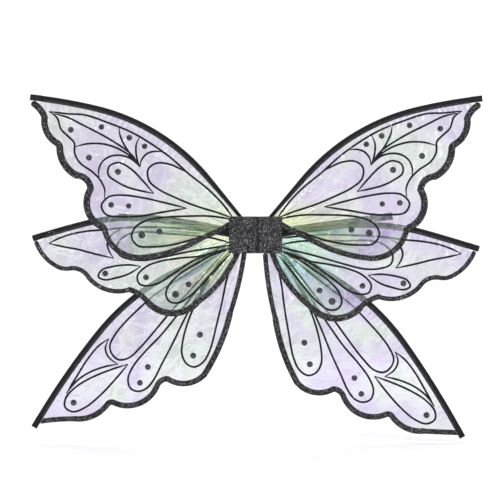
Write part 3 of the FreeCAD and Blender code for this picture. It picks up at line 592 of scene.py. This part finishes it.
def front_loops(node):
    """The outline of the node's front face, as closed loops of (x, z)."""
    mesh = bpy.data.objects[node].data
    front = min(vertex.co.y for vertex in mesh.vertices)
    _, where = welded(mesh)
    spots = {}
    for vertex, index in zip(mesh.vertices, where):
        spots.setdefault(index, vertex.co)
    uses = {}
    for polygon in mesh.polygons:
        ring = [where[index] for index in polygon.vertices]
        if any(abs(spots[index].y - front) > 0.01 * MM for index in ring):
            continue
        for first, second in zip(ring, ring[1:] + ring[:1]):
            edge = (min(first, second), max(first, second))
            uses[edge] = uses.get(edge, 0) + 1
    follow = {}
    for (first, second), count in uses.items():
        if count == 1:
            follow.setdefault(first, []).append(second)
            follow.setdefault(second, []).append(first)
    loops = []
    waiting = set(follow)
    while waiting:
        start = min(waiting)
        loop, last, here = [start], None, start
        while True:
            waiting.discard(here)
            options = [item for item in follow[here] if item != last]
            last, here = here, options[0]
            if here == start:
                break
            loop.append(here)
        loops.append([(spots[index].x, spots[index].z) for index in loop])
    return loops


def subdivided(loop, step):
    """The loop with its longer edges cut into pieces no longer than step."""
    result = []
    for (x0, z0), (x1, z1) in zip(loop, loop[1:] + loop[:1]):
        count = max(1, math.ceil(math.hypot(x1 - x0, z1 - z0) / step))
        for index in range(count):
            share = index / count
            result.append((x0 + (x1 - x0) * share, z0 + (z1 - z0) * share))
    return result


def filled(loops, step):
    """Triangles inside the loops, over a staggered grid of points."""
    points, edges = [], []
    for loop in loops:
        ring = subdivided(loop, step)
        first, count = len(points), len(ring)
        points += [Vector(spot) for spot in ring]
        edges += [(first + i, first + (i + 1) % count) for i in range(count)]
    rim = search_tree(points)
    low_x, high_x = min(p.x for p in points), max(p.x for p in points)
    low_z, high_z = min(p.y for p in points), max(p.y for p in points)
    row_step = step * math.sqrt(3) / 2
    for row in range(int((high_z - low_z) / row_step) + 1):
        z = low_z + row * row_step
        shift = 0.5 * step * (row % 2)
        for column in range(int((high_x - low_x) / step) + 1):
            x = low_x + shift + column * step
            if rim.find((x, 0, z))[2] > 0.6 * step:
                points.append(Vector((x, z)))
    verts, _, faces, _, _, _ = delaunay_2d_cdt(points, edges, [], 1, 1e-7)
    return verts, faces


def lifted(verts, y_of):
    """The flat spots, each at Y = y_of(x, z)."""
    return [Vector((v.x, y_of(v.x, v.y), v.y)) for v in verts]


def slab(name, verts, faces, front_y, back_y, material):
    """A closed plate over the flat triangles, its two faces at front_y(x, z) and back_y(x, z)."""
    count = len(verts)
    points = lifted(verts, front_y) + lifted(verts, back_y)
    edges = [edge for face in faces for edge in zip(face, face[1:] + face[:1])]
    inner = {(second, first) for first, second in edges}
    front = [tuple(face) for face in faces]
    back = [tuple(index + count for index in reversed(face)) for face in faces]
    rim = [(second, first, first + count, second + count)
           for first, second in edges if (first, second) not in inner]
    return new_object(name, points, front + back + rim, material, outward=True)


def smoothstep(low, high, value):
    share = min(1.0, max(0.0, (value - low) / (high - low)))
    return share * share * (3 - 2 * share)


def quarter_round(share):
    """The height of a quarter circle, 0 at its foot and 1 from its top on."""
    return math.sqrt(max(0.0, 1 - (1 - min(1.0, share)) ** 2))


# ---- how the film lies
def rod_line(wing, side):
    """The rod's centre line from root to tip, as (x, z): the middles of its tube's rings."""
    mesh = bpy.data.objects[f"{wing}_rod_{side}"].data
    places, where = welded(mesh)
    group = list(range(len(places)))

    def root_of(index):
        while group[index] != index:
            index = group[index]
        return index

    for edge in mesh.edges:
        first, second = (where[index] for index in edge.vertices)
        if (Vector(places[first]) - Vector(places[second])).length < ROD_RING:
            group[root_of(first)] = root_of(second)
    rings = {}
    for index, place in enumerate(places):
        rings.setdefault(root_of(index), []).append(place)
    pivot = pivot_of(wing, side)
    middles = [Vector((sum(p[0] for p in ring) / len(ring), sum(p[2] for p in ring) / len(ring)))
               for ring in rings.values()]
    return sorted(middles, key=lambda spot: (spot - Vector((pivot.x, pivot.z))).length)


def running_lengths(line):
    lengths = [0.0]
    for first, second in zip(line, line[1:]):
        lengths.append(lengths[-1] + (second - first).length)
    return lengths


def left_of(line):
    """At each of the line's spots, the unit vector to its left."""
    result = []
    for index in range(len(line)):
        before, after = line[max(0, index - 1)], line[min(len(line) - 1, index + 1)]
        along = (after - before).normalized()
        result.append(Vector((-along.y, along.x)))
    return result


def walk(line, step, start=0.0, stop=0.0):
    """Even stations along the line, as (spot, direction, distance), short of its ends by start
    and stop."""
    lengths = running_lengths(line)

    def spot_at(distance):
        distance = min(max(distance, 0.0), lengths[-1])
        index = max(i for i in range(len(line) - 1) if lengths[i] <= distance)
        share = (distance - lengths[index]) / (lengths[index + 1] - lengths[index])
        return line[index].lerp(line[index + 1], share)

    count = round((lengths[-1] - start - stop) / step)
    stations = []
    for index in range(count + 1):
        here = start + (lengths[-1] - start - stop) * index / count
        along = (spot_at(here + ROD_HEADING) - spot_at(here - ROD_HEADING)).normalized()
        stations.append((spot_at(here), along, here - start))
    return stations


class Lie:
    """How one wing's film ripples out of its plane: held at the rod and at the clip, crimped
    beside the hem, pleated where it fans out from the root, and in loose swells further out."""
    HOLD_GAP = (4 * MM, 32 * MM)
    HOLD_REACH = (40 * MM, 75 * MM)
    PLEATS = 15
    PLEAT_DEPTH = 1.2 * MM
    PLEAT_REACH = 0.075
    PLEAT_SPREAD = 0.11
    SWELL_DEPTH = 1.7 * MM
    CRIMP_DEPTH = 0.5 * MM
    CRIMP_PITCH = 11 * MM
    CRIMP_GAP = 15 * MM
    CRIMP_SPREAD = 7 * MM
    CRIMP_REACH = (0.05, 0.10)
    MOST = 1.7 * MM

    def __init__(self, wing, side):
        self.pivot = pivot_of(wing, side)
        self.stations = walk(rod_line(wing, side), ROD_STEP)
        self.tree = search_tree([spot for spot, _, _ in self.stations])
        self.seed = 10.0 * WINGS.index(wing) + 3.7 * SIDES[side]
        self.plane = film_plane(wing, side)

    def __call__(self, x, z):
        away = Vector((x - self.pivot.x, z - self.pivot.z))
        reach = away.length
        angle = math.atan2(away.y, abs(x) - abs(self.pivot.x))
        _, index, gap = self.tree.find((x, 0, z))
        hold = smoothstep(*self.HOLD_GAP, gap) * smoothstep(*self.HOLD_REACH, reach)
        wander = 1.6 * noise_at(x * 9, z * 9, self.seed)
        pleat = math.sin(self.PLEATS * angle + 2.2 * wander)
        pleat *= math.exp(-((reach - self.PLEAT_REACH) / self.PLEAT_SPREAD) ** 2)
        swell = noise_at(x * 13, z * 13, self.seed + 5)
        crease = abs(noise_at(x * 22, z * 22, self.seed + 9))
        ripple = self.PLEAT_DEPTH * pleat + self.SWELL_DEPTH * (swell + 0.45 * (0.4 - crease))
        along = self.stations[index][2]
        crimp = math.sin(2 * math.pi * along / self.CRIMP_PITCH + 5 * wander)
        crimp *= math.exp(-((gap - self.CRIMP_GAP) / self.CRIMP_SPREAD) ** 2)
        crimp *= smoothstep(*self.CRIMP_REACH, reach)
        ripple = max(-self.MOST, min(self.MOST, ripple))
        return self.plane + hold * ripple + self.CRIMP_DEPTH * crimp


# ---- pieces of a wing
def flat_area(loops):
    """The area inside the first and largest outline, less any hole's."""
    areas = []
    for loop in loops:
        following = loop[1:] + loop[:1]
        areas.append(abs(sum(a[0] * b[1] - b[0] * a[1] for a, b in zip(loop, following))) / 2)
    return 2 * max(areas) - sum(areas)


def film(wing, side, lie, material):
    """The film, rippled. Its flat size is the CAD's own cut, not a measure of this mesh."""
    node = f"{wing}_film_{side}"
    loops = front_loops(node)
    verts, faces = filled(loops, FILM_GRID)
    piece = new_object(f"{wing}_film_sheet_{side}", lifted(verts, lie), faces, material)
    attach(piece, body_name(wing, side))
    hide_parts(node)
    flat_area(loops)


def hem_section():
    """The cloth's outer face from the flap's edge over the rod to its back, then the inner face."""
    outer = [Vector(spot) for spot in HEM_FLAP]
    for degrees in range(50, 331, 20):
        angle = math.radians(degrees)
        outer.append(Vector((math.cos(angle), math.sin(angle))) * HEM_SLEEVE_RADIUS)
    outer += [Vector(spot) for spot in HEM_BACK]
    inner = [spot + left * HEM_CLOTH for spot, left in zip(outer, left_of(outer))]
    return outer + inner[::-1]


def flap_reach(across, distance):
    """How far in a spot of the section is: the flap is gathered narrower into the block."""
    gathered = 0.32 + 0.68 * smoothstep(0.0, 130 * MM, distance)
    return HEM_ROOT + (across - HEM_ROOT) * gathered


def hem(wing, side, flap, sleeve, thread):
    """The hem folded over the rod: a puckered flap with a row of stitches, and a snug sleeve."""
    sign = SIDES[side]
    plane = film_plane(wing, side)
    section = hem_section()
    size = len(section)
    stations = walk(rod_line(wing, side), ROD_STEP, HEM_START, HEM_STOP)
    seed = 3.0 * WINGS.index(wing) + sign
    points = []
    for spot, along, distance in stations:
        inward = Vector((along.y, -along.x)) * sign
        for across, forward in section:
            slack = smoothstep(2.6, 4.5, across)
            pucker = noise_at(distance * 170, across * 0.35, seed)
            reach = across
            if across > HEM_ROOT:
                reach = flap_reach(across, distance) + 0.3 * slack * pucker
            lift = forward + 0.16 * slack * noise_at(distance * 260, across, seed + 4)
            place = spot + inward * (reach * MM)
            points.append((place.x, plane - lift * MM, place.y))
    faces = tube_faces(len(stations), size)
    for row, turn in ((0, 1), (len(stations) - 1, -1)):
        for column in range(size // 2 - 1):
            opposite = size - 1 - column
            ring = (column, column + 1, opposite - 1, opposite)
            faces.append(tuple(row * size + index for index in ring)[::turn])
    piece = new_object(f"{wing}_hem_band_{side}", points, faces, flap, outward=True)
    piece.data.materials.append(sleeve)
    for index in range((len(stations) - 1) * size):
        on_flap = index % size < len(HEM_FLAP) - 2 or index % size > size - len(HEM_FLAP)
        piece.data.polygons[index].material_index = 0 if on_flap else 1
    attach(piece, body_name(wing, side))
    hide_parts(f"{wing}_hem_{side}")
    hem_stitches(wing, side, stations, plane, thread)


def hem_stitches(wing, side, stations, plane, thread):
    """One row of running stitch along the flap, at every other station."""
    across, forward = HEM_STITCH
    points, faces = [], []
    for spot, along, distance in stations[STITCHED]:
        inward = Vector((along.y, -along.x)) * SIDES[side]
        place = spot + inward * (flap_reach(across, distance) * MM)
        middle = Vector((place.x, plane - forward * MM, place.y))
        thread_bead(points, faces, middle, Vector((along.x, 0, along.y)))
    piece = new_object(f"{wing}_hem_stitches_{side}", points, faces, thread)
    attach(piece, body_name(wing, side))


def thread_bead(points, faces, middle, along):
    """One stitch: a six sided spindle that dips at both ends."""
    first = along.cross(Vector((0, 1, 0))).normalized()
    second = Vector((0, -1, 0))
    base = len(points)
    for share, width in ((-1.0, 0.45), (-0.5, 1.0), (0.5, 1.0), (1.0, 0.45)):
        centre = middle + along * (STITCH_HALF * share) - second * (STITCH_RADIUS * 0.8 * abs(share))
        points += hexagon(centre, first, second, STITCH_RADIUS * width)
    faces += tube_faces(4, 6, base)
    faces.append(tuple(range(base + 5, base - 1, -1)))
    faces.append(tuple(range(base + 18, base + 24)))


def border(wing, side, lie, material):
    """The glitter ribbon: crowned across its width, lying on the film. Returns its front's spots."""
    node = f"{wing}_border_{side}"
    loops = front_loops(node)
    verts, faces = filled(loops, RIBBON_GRID)
    to_rim = rim_distance(loops)

    def front(x, z):
        inward = smoothstep(0.0, RIBBON_ROLL, to_rim(x, z))
        grit = RIBBON_GRIT * noise_at(x * 700, z * 700, 1)
        return lie(x, z) - RIBBON_EDGE - inward * (RIBBON_CROWN + grit)

    piece = slab(f"{wing}_glitter_edge_{side}", verts, faces, front,
                 lambda x, z: lie(x, z) - RIBBON_BACK, material)
    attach(piece, body_name(wing, side))
    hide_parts(node)
    return lifted(verts, front)


def curve_through(points, step):
    """Spots step apart along a smooth curve through the given (x, z) points."""
    spots = []
    last = len(points) - 1
    for index in range(last):
        before = points[index - 1] if index > 0 else points[0]
        after = points[index + 2] if index + 2 <= last else points[last]
        p0, p1, p2, p3 = (Vector(p) for p in (before, points[index], points[index + 1], after))
        count = max(2, round((p2 - p1).length / step))
        knots = [0.0]
        for first, second in ((p0, p1), (p1, p2), (p2, p3)):
            knots.append(knots[-1] + max(1e-4, math.sqrt((second - first).length)))
        for place in range(count):
            here = knots[1] + (knots[2] - knots[1]) * place / count
            spots.append(centripetal(p0, p1, p2, p3, knots, here))
    spots.append(Vector(points[last]))
    return spots


def between(first, second, start, end, here):
    """From first at start to second at end, at here."""
    return first * ((end - here) / (end - start)) + second * ((here - start) / (end - start))


def centripetal(p0, p1, p2, p3, knots, here):
    """The spot at knot value here on the curve from p1 to p2."""
    t0, t1, t2, t3 = knots
    a1 = p1 if t1 - t0 < 1e-3 else between(p0, p1, t0, t1, here)
    a2 = between(p1, p2, t1, t2, here)
    a3 = p2 if t3 - t2 < 1e-3 else between(p2, p3, t2, t3, here)
    b1 = between(a1, a2, t0, t2, here)
    b2 = between(a2, a3, t1, t3, here)
    return between(b1, b2, t1, t2, here)


def vein_rows(wing, side, points, seed):
    """Rows of five spots across one printed line, which tapers to its ends."""
    spots = [Vector(placed(spot, wing, side)) for spot in curve_through(points, PRINT_STEP)]
    lengths = running_lengths(spots)
    rows = []
    for spot, across, length in zip(spots, left_of(spots), lengths):
        to_end = min(length, lengths[-1] - length)
        taper = 0.5 + 0.5 * smoothstep(0.0, PRINT_TAPER, to_end)
        uneven = 1.0 + 0.14 * noise_at(length * 45, seed, 0)
        half = 0.5 * PRINT_WIDTH * taper * uneven
        rows.append([spot + across * (half * share) for share in (-1, -0.5, 0, 0.5, 1)])
    return rows


def line_faces(rows, push):
    """The faces of one printed line: a crowned front, then the edges and the back, then the ends."""
    front = [[push(p.x, p.y, lift) for p, lift in zip(row, PRINT_CROWN)] for row in rows]
    back = [[push(p.x, p.y, PRINT_BACK) for p in (row[0], row[-1])] for row in rows]
    faces = []
    for a, b in zip(front, front[1:]):
        faces += [(a[i], b[i], b[i + 1], a[i + 1]) for i in range(4)]
    for f0, f1, b0, b1 in zip(front, front[1:], back, back[1:]):
        faces += [(b0[0], b1[0], f1[0], f0[0]), (f0[4], f1[4], b1[1], b0[1]),
                  (b0[1], b1[1], b1[0], b0[0])]
    for end, turn in ((0, 1), (-1, -1)):
        faces.append(tuple([*front[end], back[end][1], back[end][0]][::turn]))
    return faces


def dot_faces(centre, radius, push):
    """The faces of one raised dot: rings that close into a dome, and a flat back."""
    rings = []
    for share, lift in DOT_RINGS:
        for step in range(DOT_STEPS):
            angle = 2 * math.pi * step / DOT_STEPS
            rings.append(push(centre[0] + radius * share * math.cos(angle),
                              centre[1] + radius * share * math.sin(angle), lift))
    top = push(*centre, DOT_TOP)
    last = rings[-DOT_STEPS:]
    faces = tube_faces(len(DOT_RINGS), DOT_STEPS, rings[0])
    faces += [(first, second, top) for first, second in zip(last, last[1:] + last[:1])]
    faces.append(tuple(reversed(rings[:DOT_STEPS])))
    return faces


def printed(wing, side, lie, ink, bead):
    """All the veins on one wing, as one thin piece on the film, with its raised dots."""
    points, faces = [], []

    def push(x, z, lift):
        points.append((x, lie(x, z) - lift, z))
        return len(points) - 1

    for seed, curve in enumerate(VEINS[wing]["curves"]):
        faces += line_faces(vein_rows(wing, side, curve, seed), push)
    first_dot_face = len(faces)
    for x, z, radius in VEINS[wing]["dots"]:
        faces += dot_faces(placed((x, z), wing, side), radius * MM, push)
    piece = new_object(f"{wing}_printed_veins_{side}", points, faces, ink, outward=True)
    piece.data.materials.append(bead)
    for polygon in piece.data.polygons[first_dot_face:]:
        polygon.material_index = 1
    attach(piece, body_name(wing, side))


def flakes(name, spots, share, body, material, rng):
    """Glitter flakes: small six-sided platelets tipped at random over some of the spots."""
    points, faces = [], []
    for spot in spots:
        if rng.random() > share:
            continue
        tip_x, tip_z = rng.gauss(0, 0.45), rng.gauss(0, 0.45)
        normal = Vector((tip_x, -1.0, tip_z)).normalized()
        first = normal.cross(Vector((0, 0, 1))).normalized()
        second = normal.cross(first)
        radius = FLAKE_SIZE * rng.uniform(0.6, 1.1)
        stray_x, stray_z = (rng.uniform(-FLAKE_STRAY, FLAKE_STRAY) * MM for _ in "xz")
        centre = spot + Vector((stray_x, -FLAKE_LIFT, stray_z))
        base = len(points)
        rim = hexagon(centre, first, second, radius)
        points += rim + [corner - normal * FLAKE_THICK for corner in rim]
        faces.append(tuple(range(base, base + 6)))
        faces.append(tuple(reversed(range(base + 6, base + 12))))
        for corner in range(6):
            follow = (corner + 1) % 6
            faces.append((base + corner, base + 6 + corner, base + 6 + follow, base + follow))
    piece = new_object(name, points, faces, material, smooth=False)
    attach(piece, body)


# ---- the block
def glitter_wrap(side, material):
    """The glitter cloth pulled over one half of the block: soft edges, slack folds. Beside the
    seam it stays flat enough for the two halves to fold onto each other. Returns its front's
    spots."""
    node = f"glitter_cover_{side}"
    low, high = corners(node)
    loop = rounded_rectangle(low.x + WRAP_INSET, low.z, high.x - WRAP_INSET, high.z, WRAP_CORNER)
    verts, faces = filled([loop], WRAP_GRID)
    seam, hinge_y, _ = joint("centre_fold")["pos_m"]
    fold_room = math.tan(math.radians((180 - FOLD_LIMIT) / 2))

    def front(x, z):
        to_edge = min(x - low.x, high.x - x, z - low.z, high.z - z)
        roll = WRAP_DROP * (1 - quarter_round(to_edge / WRAP_ROLL))
        bulge = WRAP_BULGE * math.sin(math.pi * (z - low.z) / (high.z - low.z))
        slack = WRAP_SLACK * noise_at(x * 60, z * 22, 4)
        tuck = WRAP_TUCK * math.exp(-(abs(x - seam) / WRAP_TUCK_WIDTH) ** 2)
        grit = WRAP_GRIT * noise_at(x * 800, z * 800, 2)
        fade = smoothstep(0.0, WRAP_FADE, to_edge)
        swell = fade * (bulge + slack + WRAP_LIFT)
        loose = low.y + roll - swell + tuck * (1 - fade * 0.5) - grit
        return max(loose, hinge_y + FLAKE_ROOM - fold_room * abs(x - seam) - 0.3 * grit)

    piece = slab(f"glitter_wrap_{side}", verts, faces, front, lambda x, z: high.y, material)
    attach(piece, f"{side}_block")
    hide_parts(node)
    return lifted(verts, front)


def welt(material):
    """The piping sewn down the seam: a soft tube, nipped in by each turn of its lacing."""
    low, high = corners("seam_welt")
    centre = (low + high) / 2
    radius = (high.x - low.x) / 2
    points = []
    for row in range(WELT_ROWS + 1):
        z = low.z + (high.z - low.z) * (row / WELT_ROWS)
        closing = quarter_round(min(z - low.z, high.z - z) / radius)
        for corner in range(WELT_CORNERS):
            angle = 2 * math.pi * corner / WELT_CORNERS
            nip = 0.5 + 0.5 * math.cos(2 * math.pi * (z / WELT_LACING) + angle)
            soft = noise_at(angle, z * 260, 8)
            here = radius * (0.12 + 0.88 * closing) * (0.99 - 0.13 * nip ** 3 + 0.05 * soft)
            points.append((centre.x + here * math.cos(angle), centre.y + here * math.sin(angle), z))
    faces = closed_tube(WELT_ROWS + 1, WELT_CORNERS)
    piece = new_object("seam_piping", points, faces, material, outward=True)
    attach(piece, "left_block")
    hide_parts("seam_welt")


def rounded_rectangle(x0, z0, x1, z1, radius, corner_steps=6):
    centres = [(x1 - radius, z0 + radius, -90), (x1 - radius, z1 - radius, 0),
               (x0 + radius, z1 - radius, 90), (x0 + radius, z0 + radius, 180)]
    loop = []
    for x, z, start in centres:
        for step in range(corner_steps + 1):
            angle = math.radians(start + 90 * step / corner_steps)
            loop.append((x + radius * math.cos(angle), z + radius * math.sin(angle)))
    return loop


def strap_path(radius):
    """The folded elastic's course, as (distance out, offset, and the face's up and out)."""
    run = [-STRAP_TAIL + (STRAP_TAIL + STRAP_REACH) * step / STRAP_RUN_STEPS
           for step in range(STRAP_RUN_STEPS + 1)]
    path = [(place, radius, 1.0, 0.0) for place in run]
    for step in range(1, STRAP_TURN_STEPS):
        angle = math.pi * step / STRAP_TURN_STEPS
        path.append((STRAP_REACH + radius * math.sin(angle), radius * math.cos(angle),
                     math.cos(angle), math.sin(angle)))
    return path + [(place, -radius, -1.0, 0.0) for place in reversed(run)]


def strap_profile():
    """The elastic's section: ribbed faces and beaded edges."""
    face = []
    for step in range(STRAP_RIBS + 1):
        place = step / STRAP_RIBS - 0.5
        edge_bead = STRAP_BEAD * (abs(place) > 0.42)
        rib = STRAP_RIB * (step % 2)
        face.append((place * STRAP_WIDTH, STRAP_THICK / 2 - STRAP_HOLLOW + edge_bead + rib))
    return face + [(width, -lift) for width, lift in reversed(face)]


def shoulder_strap(side, material):
    """Woven elastic folded flat into a loop, with a ribbed face and beaded edges."""
    node = f"shoulder_strap_{side}"
    low, high = corners(node)
    sign = SIDES[side]
    tilt = math.radians(STRAP_TILT)
    along = Vector((sign * math.cos(tilt), 0, math.sin(tilt)))
    across = Vector((-sign * math.sin(tilt), 0, math.cos(tilt)))
    anchor = Vector((sign * STRAP_ANCHOR[0], (low.y + high.y) / 2, STRAP_ANCHOR[1]))
    path, profile = strap_path((high.y - low.y - STRAP_THICK) / 2), strap_profile()
    points = []
    for place, off, up, out in path:
        ripple = STRAP_RIPPLE * math.sin(place / STRAP_RIPPLE_PITCH) * (abs(up) == 1.0)
        reach = max(0.0, place / STRAP_REACH)
        bow = STRAP_BOW[side] * (math.sin(math.pi * min(1.0, reach)) - 0.43 * reach * reach)
        for width, lift in profile:
            normal = Vector((0, up, 0)) + along * out
            spot = anchor + along * place + Vector((0, off + ripple, 0)) + normal * lift
            points.append(spot + across * (width + bow))
    faces = closed_tube(len(path), len(profile))
    piece = new_object(f"elastic_loop_{side}", points, faces, material, smooth=False, outward=True)
    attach(piece, f"{side}_block")
    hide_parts(node)


def back_pad(side, material):
    """The felt pad against the back: crowned, with a pressed edge, open at the strap's channel."""
    node = f"back_pad_{side}"
    low, high = corners(node)
    loops = front_loops(node)
    verts, faces = filled(loops, PAD_GRID)
    to_rim = rim_distance(loops)

    def rear(x, z):
        inward = smoothstep(0.0, PAD_ROLL, to_rim(x, z))
        nap = PAD_NAP * noise_at(x * 500, z * 500, 3)
        return high.y - PAD_CROWN * (1 - inward) - abs(nap)

    piece = slab(f"felt_pad_{side}", verts, faces, lambda x, z: low.y, rear, material)
    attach(piece, f"{side}_block")
    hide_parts(node)


# ---- light, floor and camera
def world_light():
    """White behind the object; the light that falls on it comes from a soft banded room."""
    world = bpy.data.worlds.new("studio")
    bpy.context.scene.world = world
    world.use_nodes = True
    tree = world.node_tree
    tree.nodes.clear()
    place = add(tree, "TexCoord").outputs["Generated"]
    bands = wave_texture(tree, place, 0.55, 2.5, "DIAGONAL")
    room = ramp(tree, bands, [(0.0, (0.42, 0.43, 0.45)), (1.0, (1.15, 1.13, 1.12))])
    lit = add(tree, "Background", {"Color": room, "Strength": 0.9})
    white = add(tree, "Background", {"Color": (1, 1, 1, 1), "Strength": 1.05})
    rays = add(tree, "LightPath")
    mix = add(tree, "MixShader", {
        "Fac": rays.outputs["Is Camera Ray"], 1: lit.outputs["Background"],
        2: white.outputs["Background"]})
    add(tree, "OutputWorld", {"Surface": mix.outputs["Shader"]})


def area_light(name, place, target, width, height, power):
    light = bpy.data.lights.new(name, "AREA")
    light.shape = "RECTANGLE"
    light.size = width
    light.size_y = height
    light.energy = power
    lamp = bpy.data.objects.new(name, light)
    lamp.location = place
    lamp.rotation_euler = (Vector(target) - Vector(place)).to_track_quat("-Z", "Y").to_euler()
    bpy.context.scene.collection.objects.link(lamp)


def floor(height):
    """A pale seamless floor just under the lowest tips."""
    angles = [2 * math.pi * corner / FLOOR_CORNERS for corner in range(FLOOR_CORNERS)]
    ring = [(FLOOR_RADIUS * math.cos(a), FLOOR_RADIUS * math.sin(a), height) for a in angles]
    face = tuple(range(FLOOR_CORNERS))
    new_object("studio_floor", ring, [face], floor_material(), smooth=False)


def camera():
    """Straight on, from behind the wearer, a little below the block's middle."""
    data = bpy.data.cameras.new("camera")
    data.sensor_width = 36.0
    data.lens = data.sensor_width * abs(CAMERA_PLACE[1]) / CAMERA_FIELD
    data.clip_end = 50.0
    viewer = bpy.data.objects.new("camera", data)
    viewer.location = CAMERA_PLACE
    viewer.rotation_euler = (math.radians(90), 0, 0)
    bpy.context.scene.collection.objects.link(viewer)
    bpy.context.scene.camera = viewer


# ---- put it together
camera()
world_light()
for light in LIGHTS:
    area_light(*light)
floor(cad_box[0][2] - FLOOR_GAP)

# OLIVE, YELLOW and TEAL tint the painted crease highlights and shade near the block, left and right.
OLIVE, YELLOW, TEAL = (1.0, 1.0, 0.80), (1.0, 1.0, 0.62), (0.80, 0.98, 0.94)
FILMS = {"upper": film_material("film_upper", 0.75, (OLIVE, YELLOW), (-0.06, 0.05)),
         "middle": film_material("film_middle", 1.0, (OLIVE, TEAL), (-0.05, 0.0)),
         "lower": film_material("film_lower", 0.15, (OLIVE, TEAL), (0.03, 0.03))}
# Each glitter material's bright colour is painted glints.
RIBBON = glitter_material("glitter_ribbon", (0.006, 0.006, 0.007), (0.50, 0.50, 0.52), 0.9 * MM)
GLITTER = glitter_material("glitter_cloth", (0.006, 0.006, 0.007), (0.60, 0.60, 0.62), 0.8 * MM)
FLAKE = flake_material()
INK = print_material()
BEAD = bead_material()
# Its bright colour is painted glints too.
HEM = glitter_material("hem_tape", (0.014, 0.014, 0.017), (0.20, 0.20, 0.22), 0.7 * MM)
SLEEVE = woven_material("hem_sleeve", (0.004, 0.004, 0.005), 0.6 * MM, 0.8, 0.0)
THREAD = woven_material("sewing_thread", (0.050, 0.050, 0.054), 0.3 * MM)
WELT = woven_material("welt_cloth", (0.010, 0.010, 0.011), 0.5 * MM)
ELASTIC = woven_material("woven_elastic", (0.020, 0.034, 0.026), 0.8 * MM, 0.7, 0.15)
FELT = felt_material()
ROD = moulded_material("glass_fibre_rod", (0.010, 0.010, 0.011), 0.35)
MOULDED = moulded_material("moulded_black", (0.005, 0.005, 0.006), 0.5)
BOARD = moulded_material("black_board", (0.020, 0.020, 0.021), 0.6)
NYLON = moulded_material("nylon", (0.55, 0.55, 0.52), 0.45)
STEEL = steel_material()

NODE_MATERIALS = {
    "rod": ROD, "clip": MOULDED, "tip_cap": MOULDED, "board": BOARD, "spine": BOARD,
    "fan_rivet": STEEL, "strap_eyelet": STEEL, "washers": NYLON,
}


def dress_cad_nodes():
    for node in frame["nodes"]:
        for word, material in NODE_MATERIALS.items():
            if word in node:
                for slot in bpy.data.objects[node].material_slots:
                    slot.material = material


dress_cad_nodes()
rng = random.Random(7)
welt(WELT)
for side in SIDES:
    wrap_spots = glitter_wrap(side, GLITTER)
    flakes(f"block_flakes_{side}", wrap_spots, FLAKE_SHARES["block"], f"{side}_block",
           FLAKE, rng)
    shoulder_strap(side, ELASTIC)
    back_pad(side, FELT)
    for wing in WINGS:
        lie = Lie(wing, side)
        film(wing, side, lie, FILMS[wing])
        edge_spots = border(wing, side, lie, RIBBON)
        printed(wing, side, lie, INK, BEAD)
        hem(wing, side, HEM, SLEEVE, THREAD)
        flakes(f"{wing}_edge_flakes_{side}", edge_spots, FLAKE_SHARES["ribbon"],
               body_name(wing, side), FLAKE, rng)

bpy.context.scene.view_settings.view_transform = "Standard"
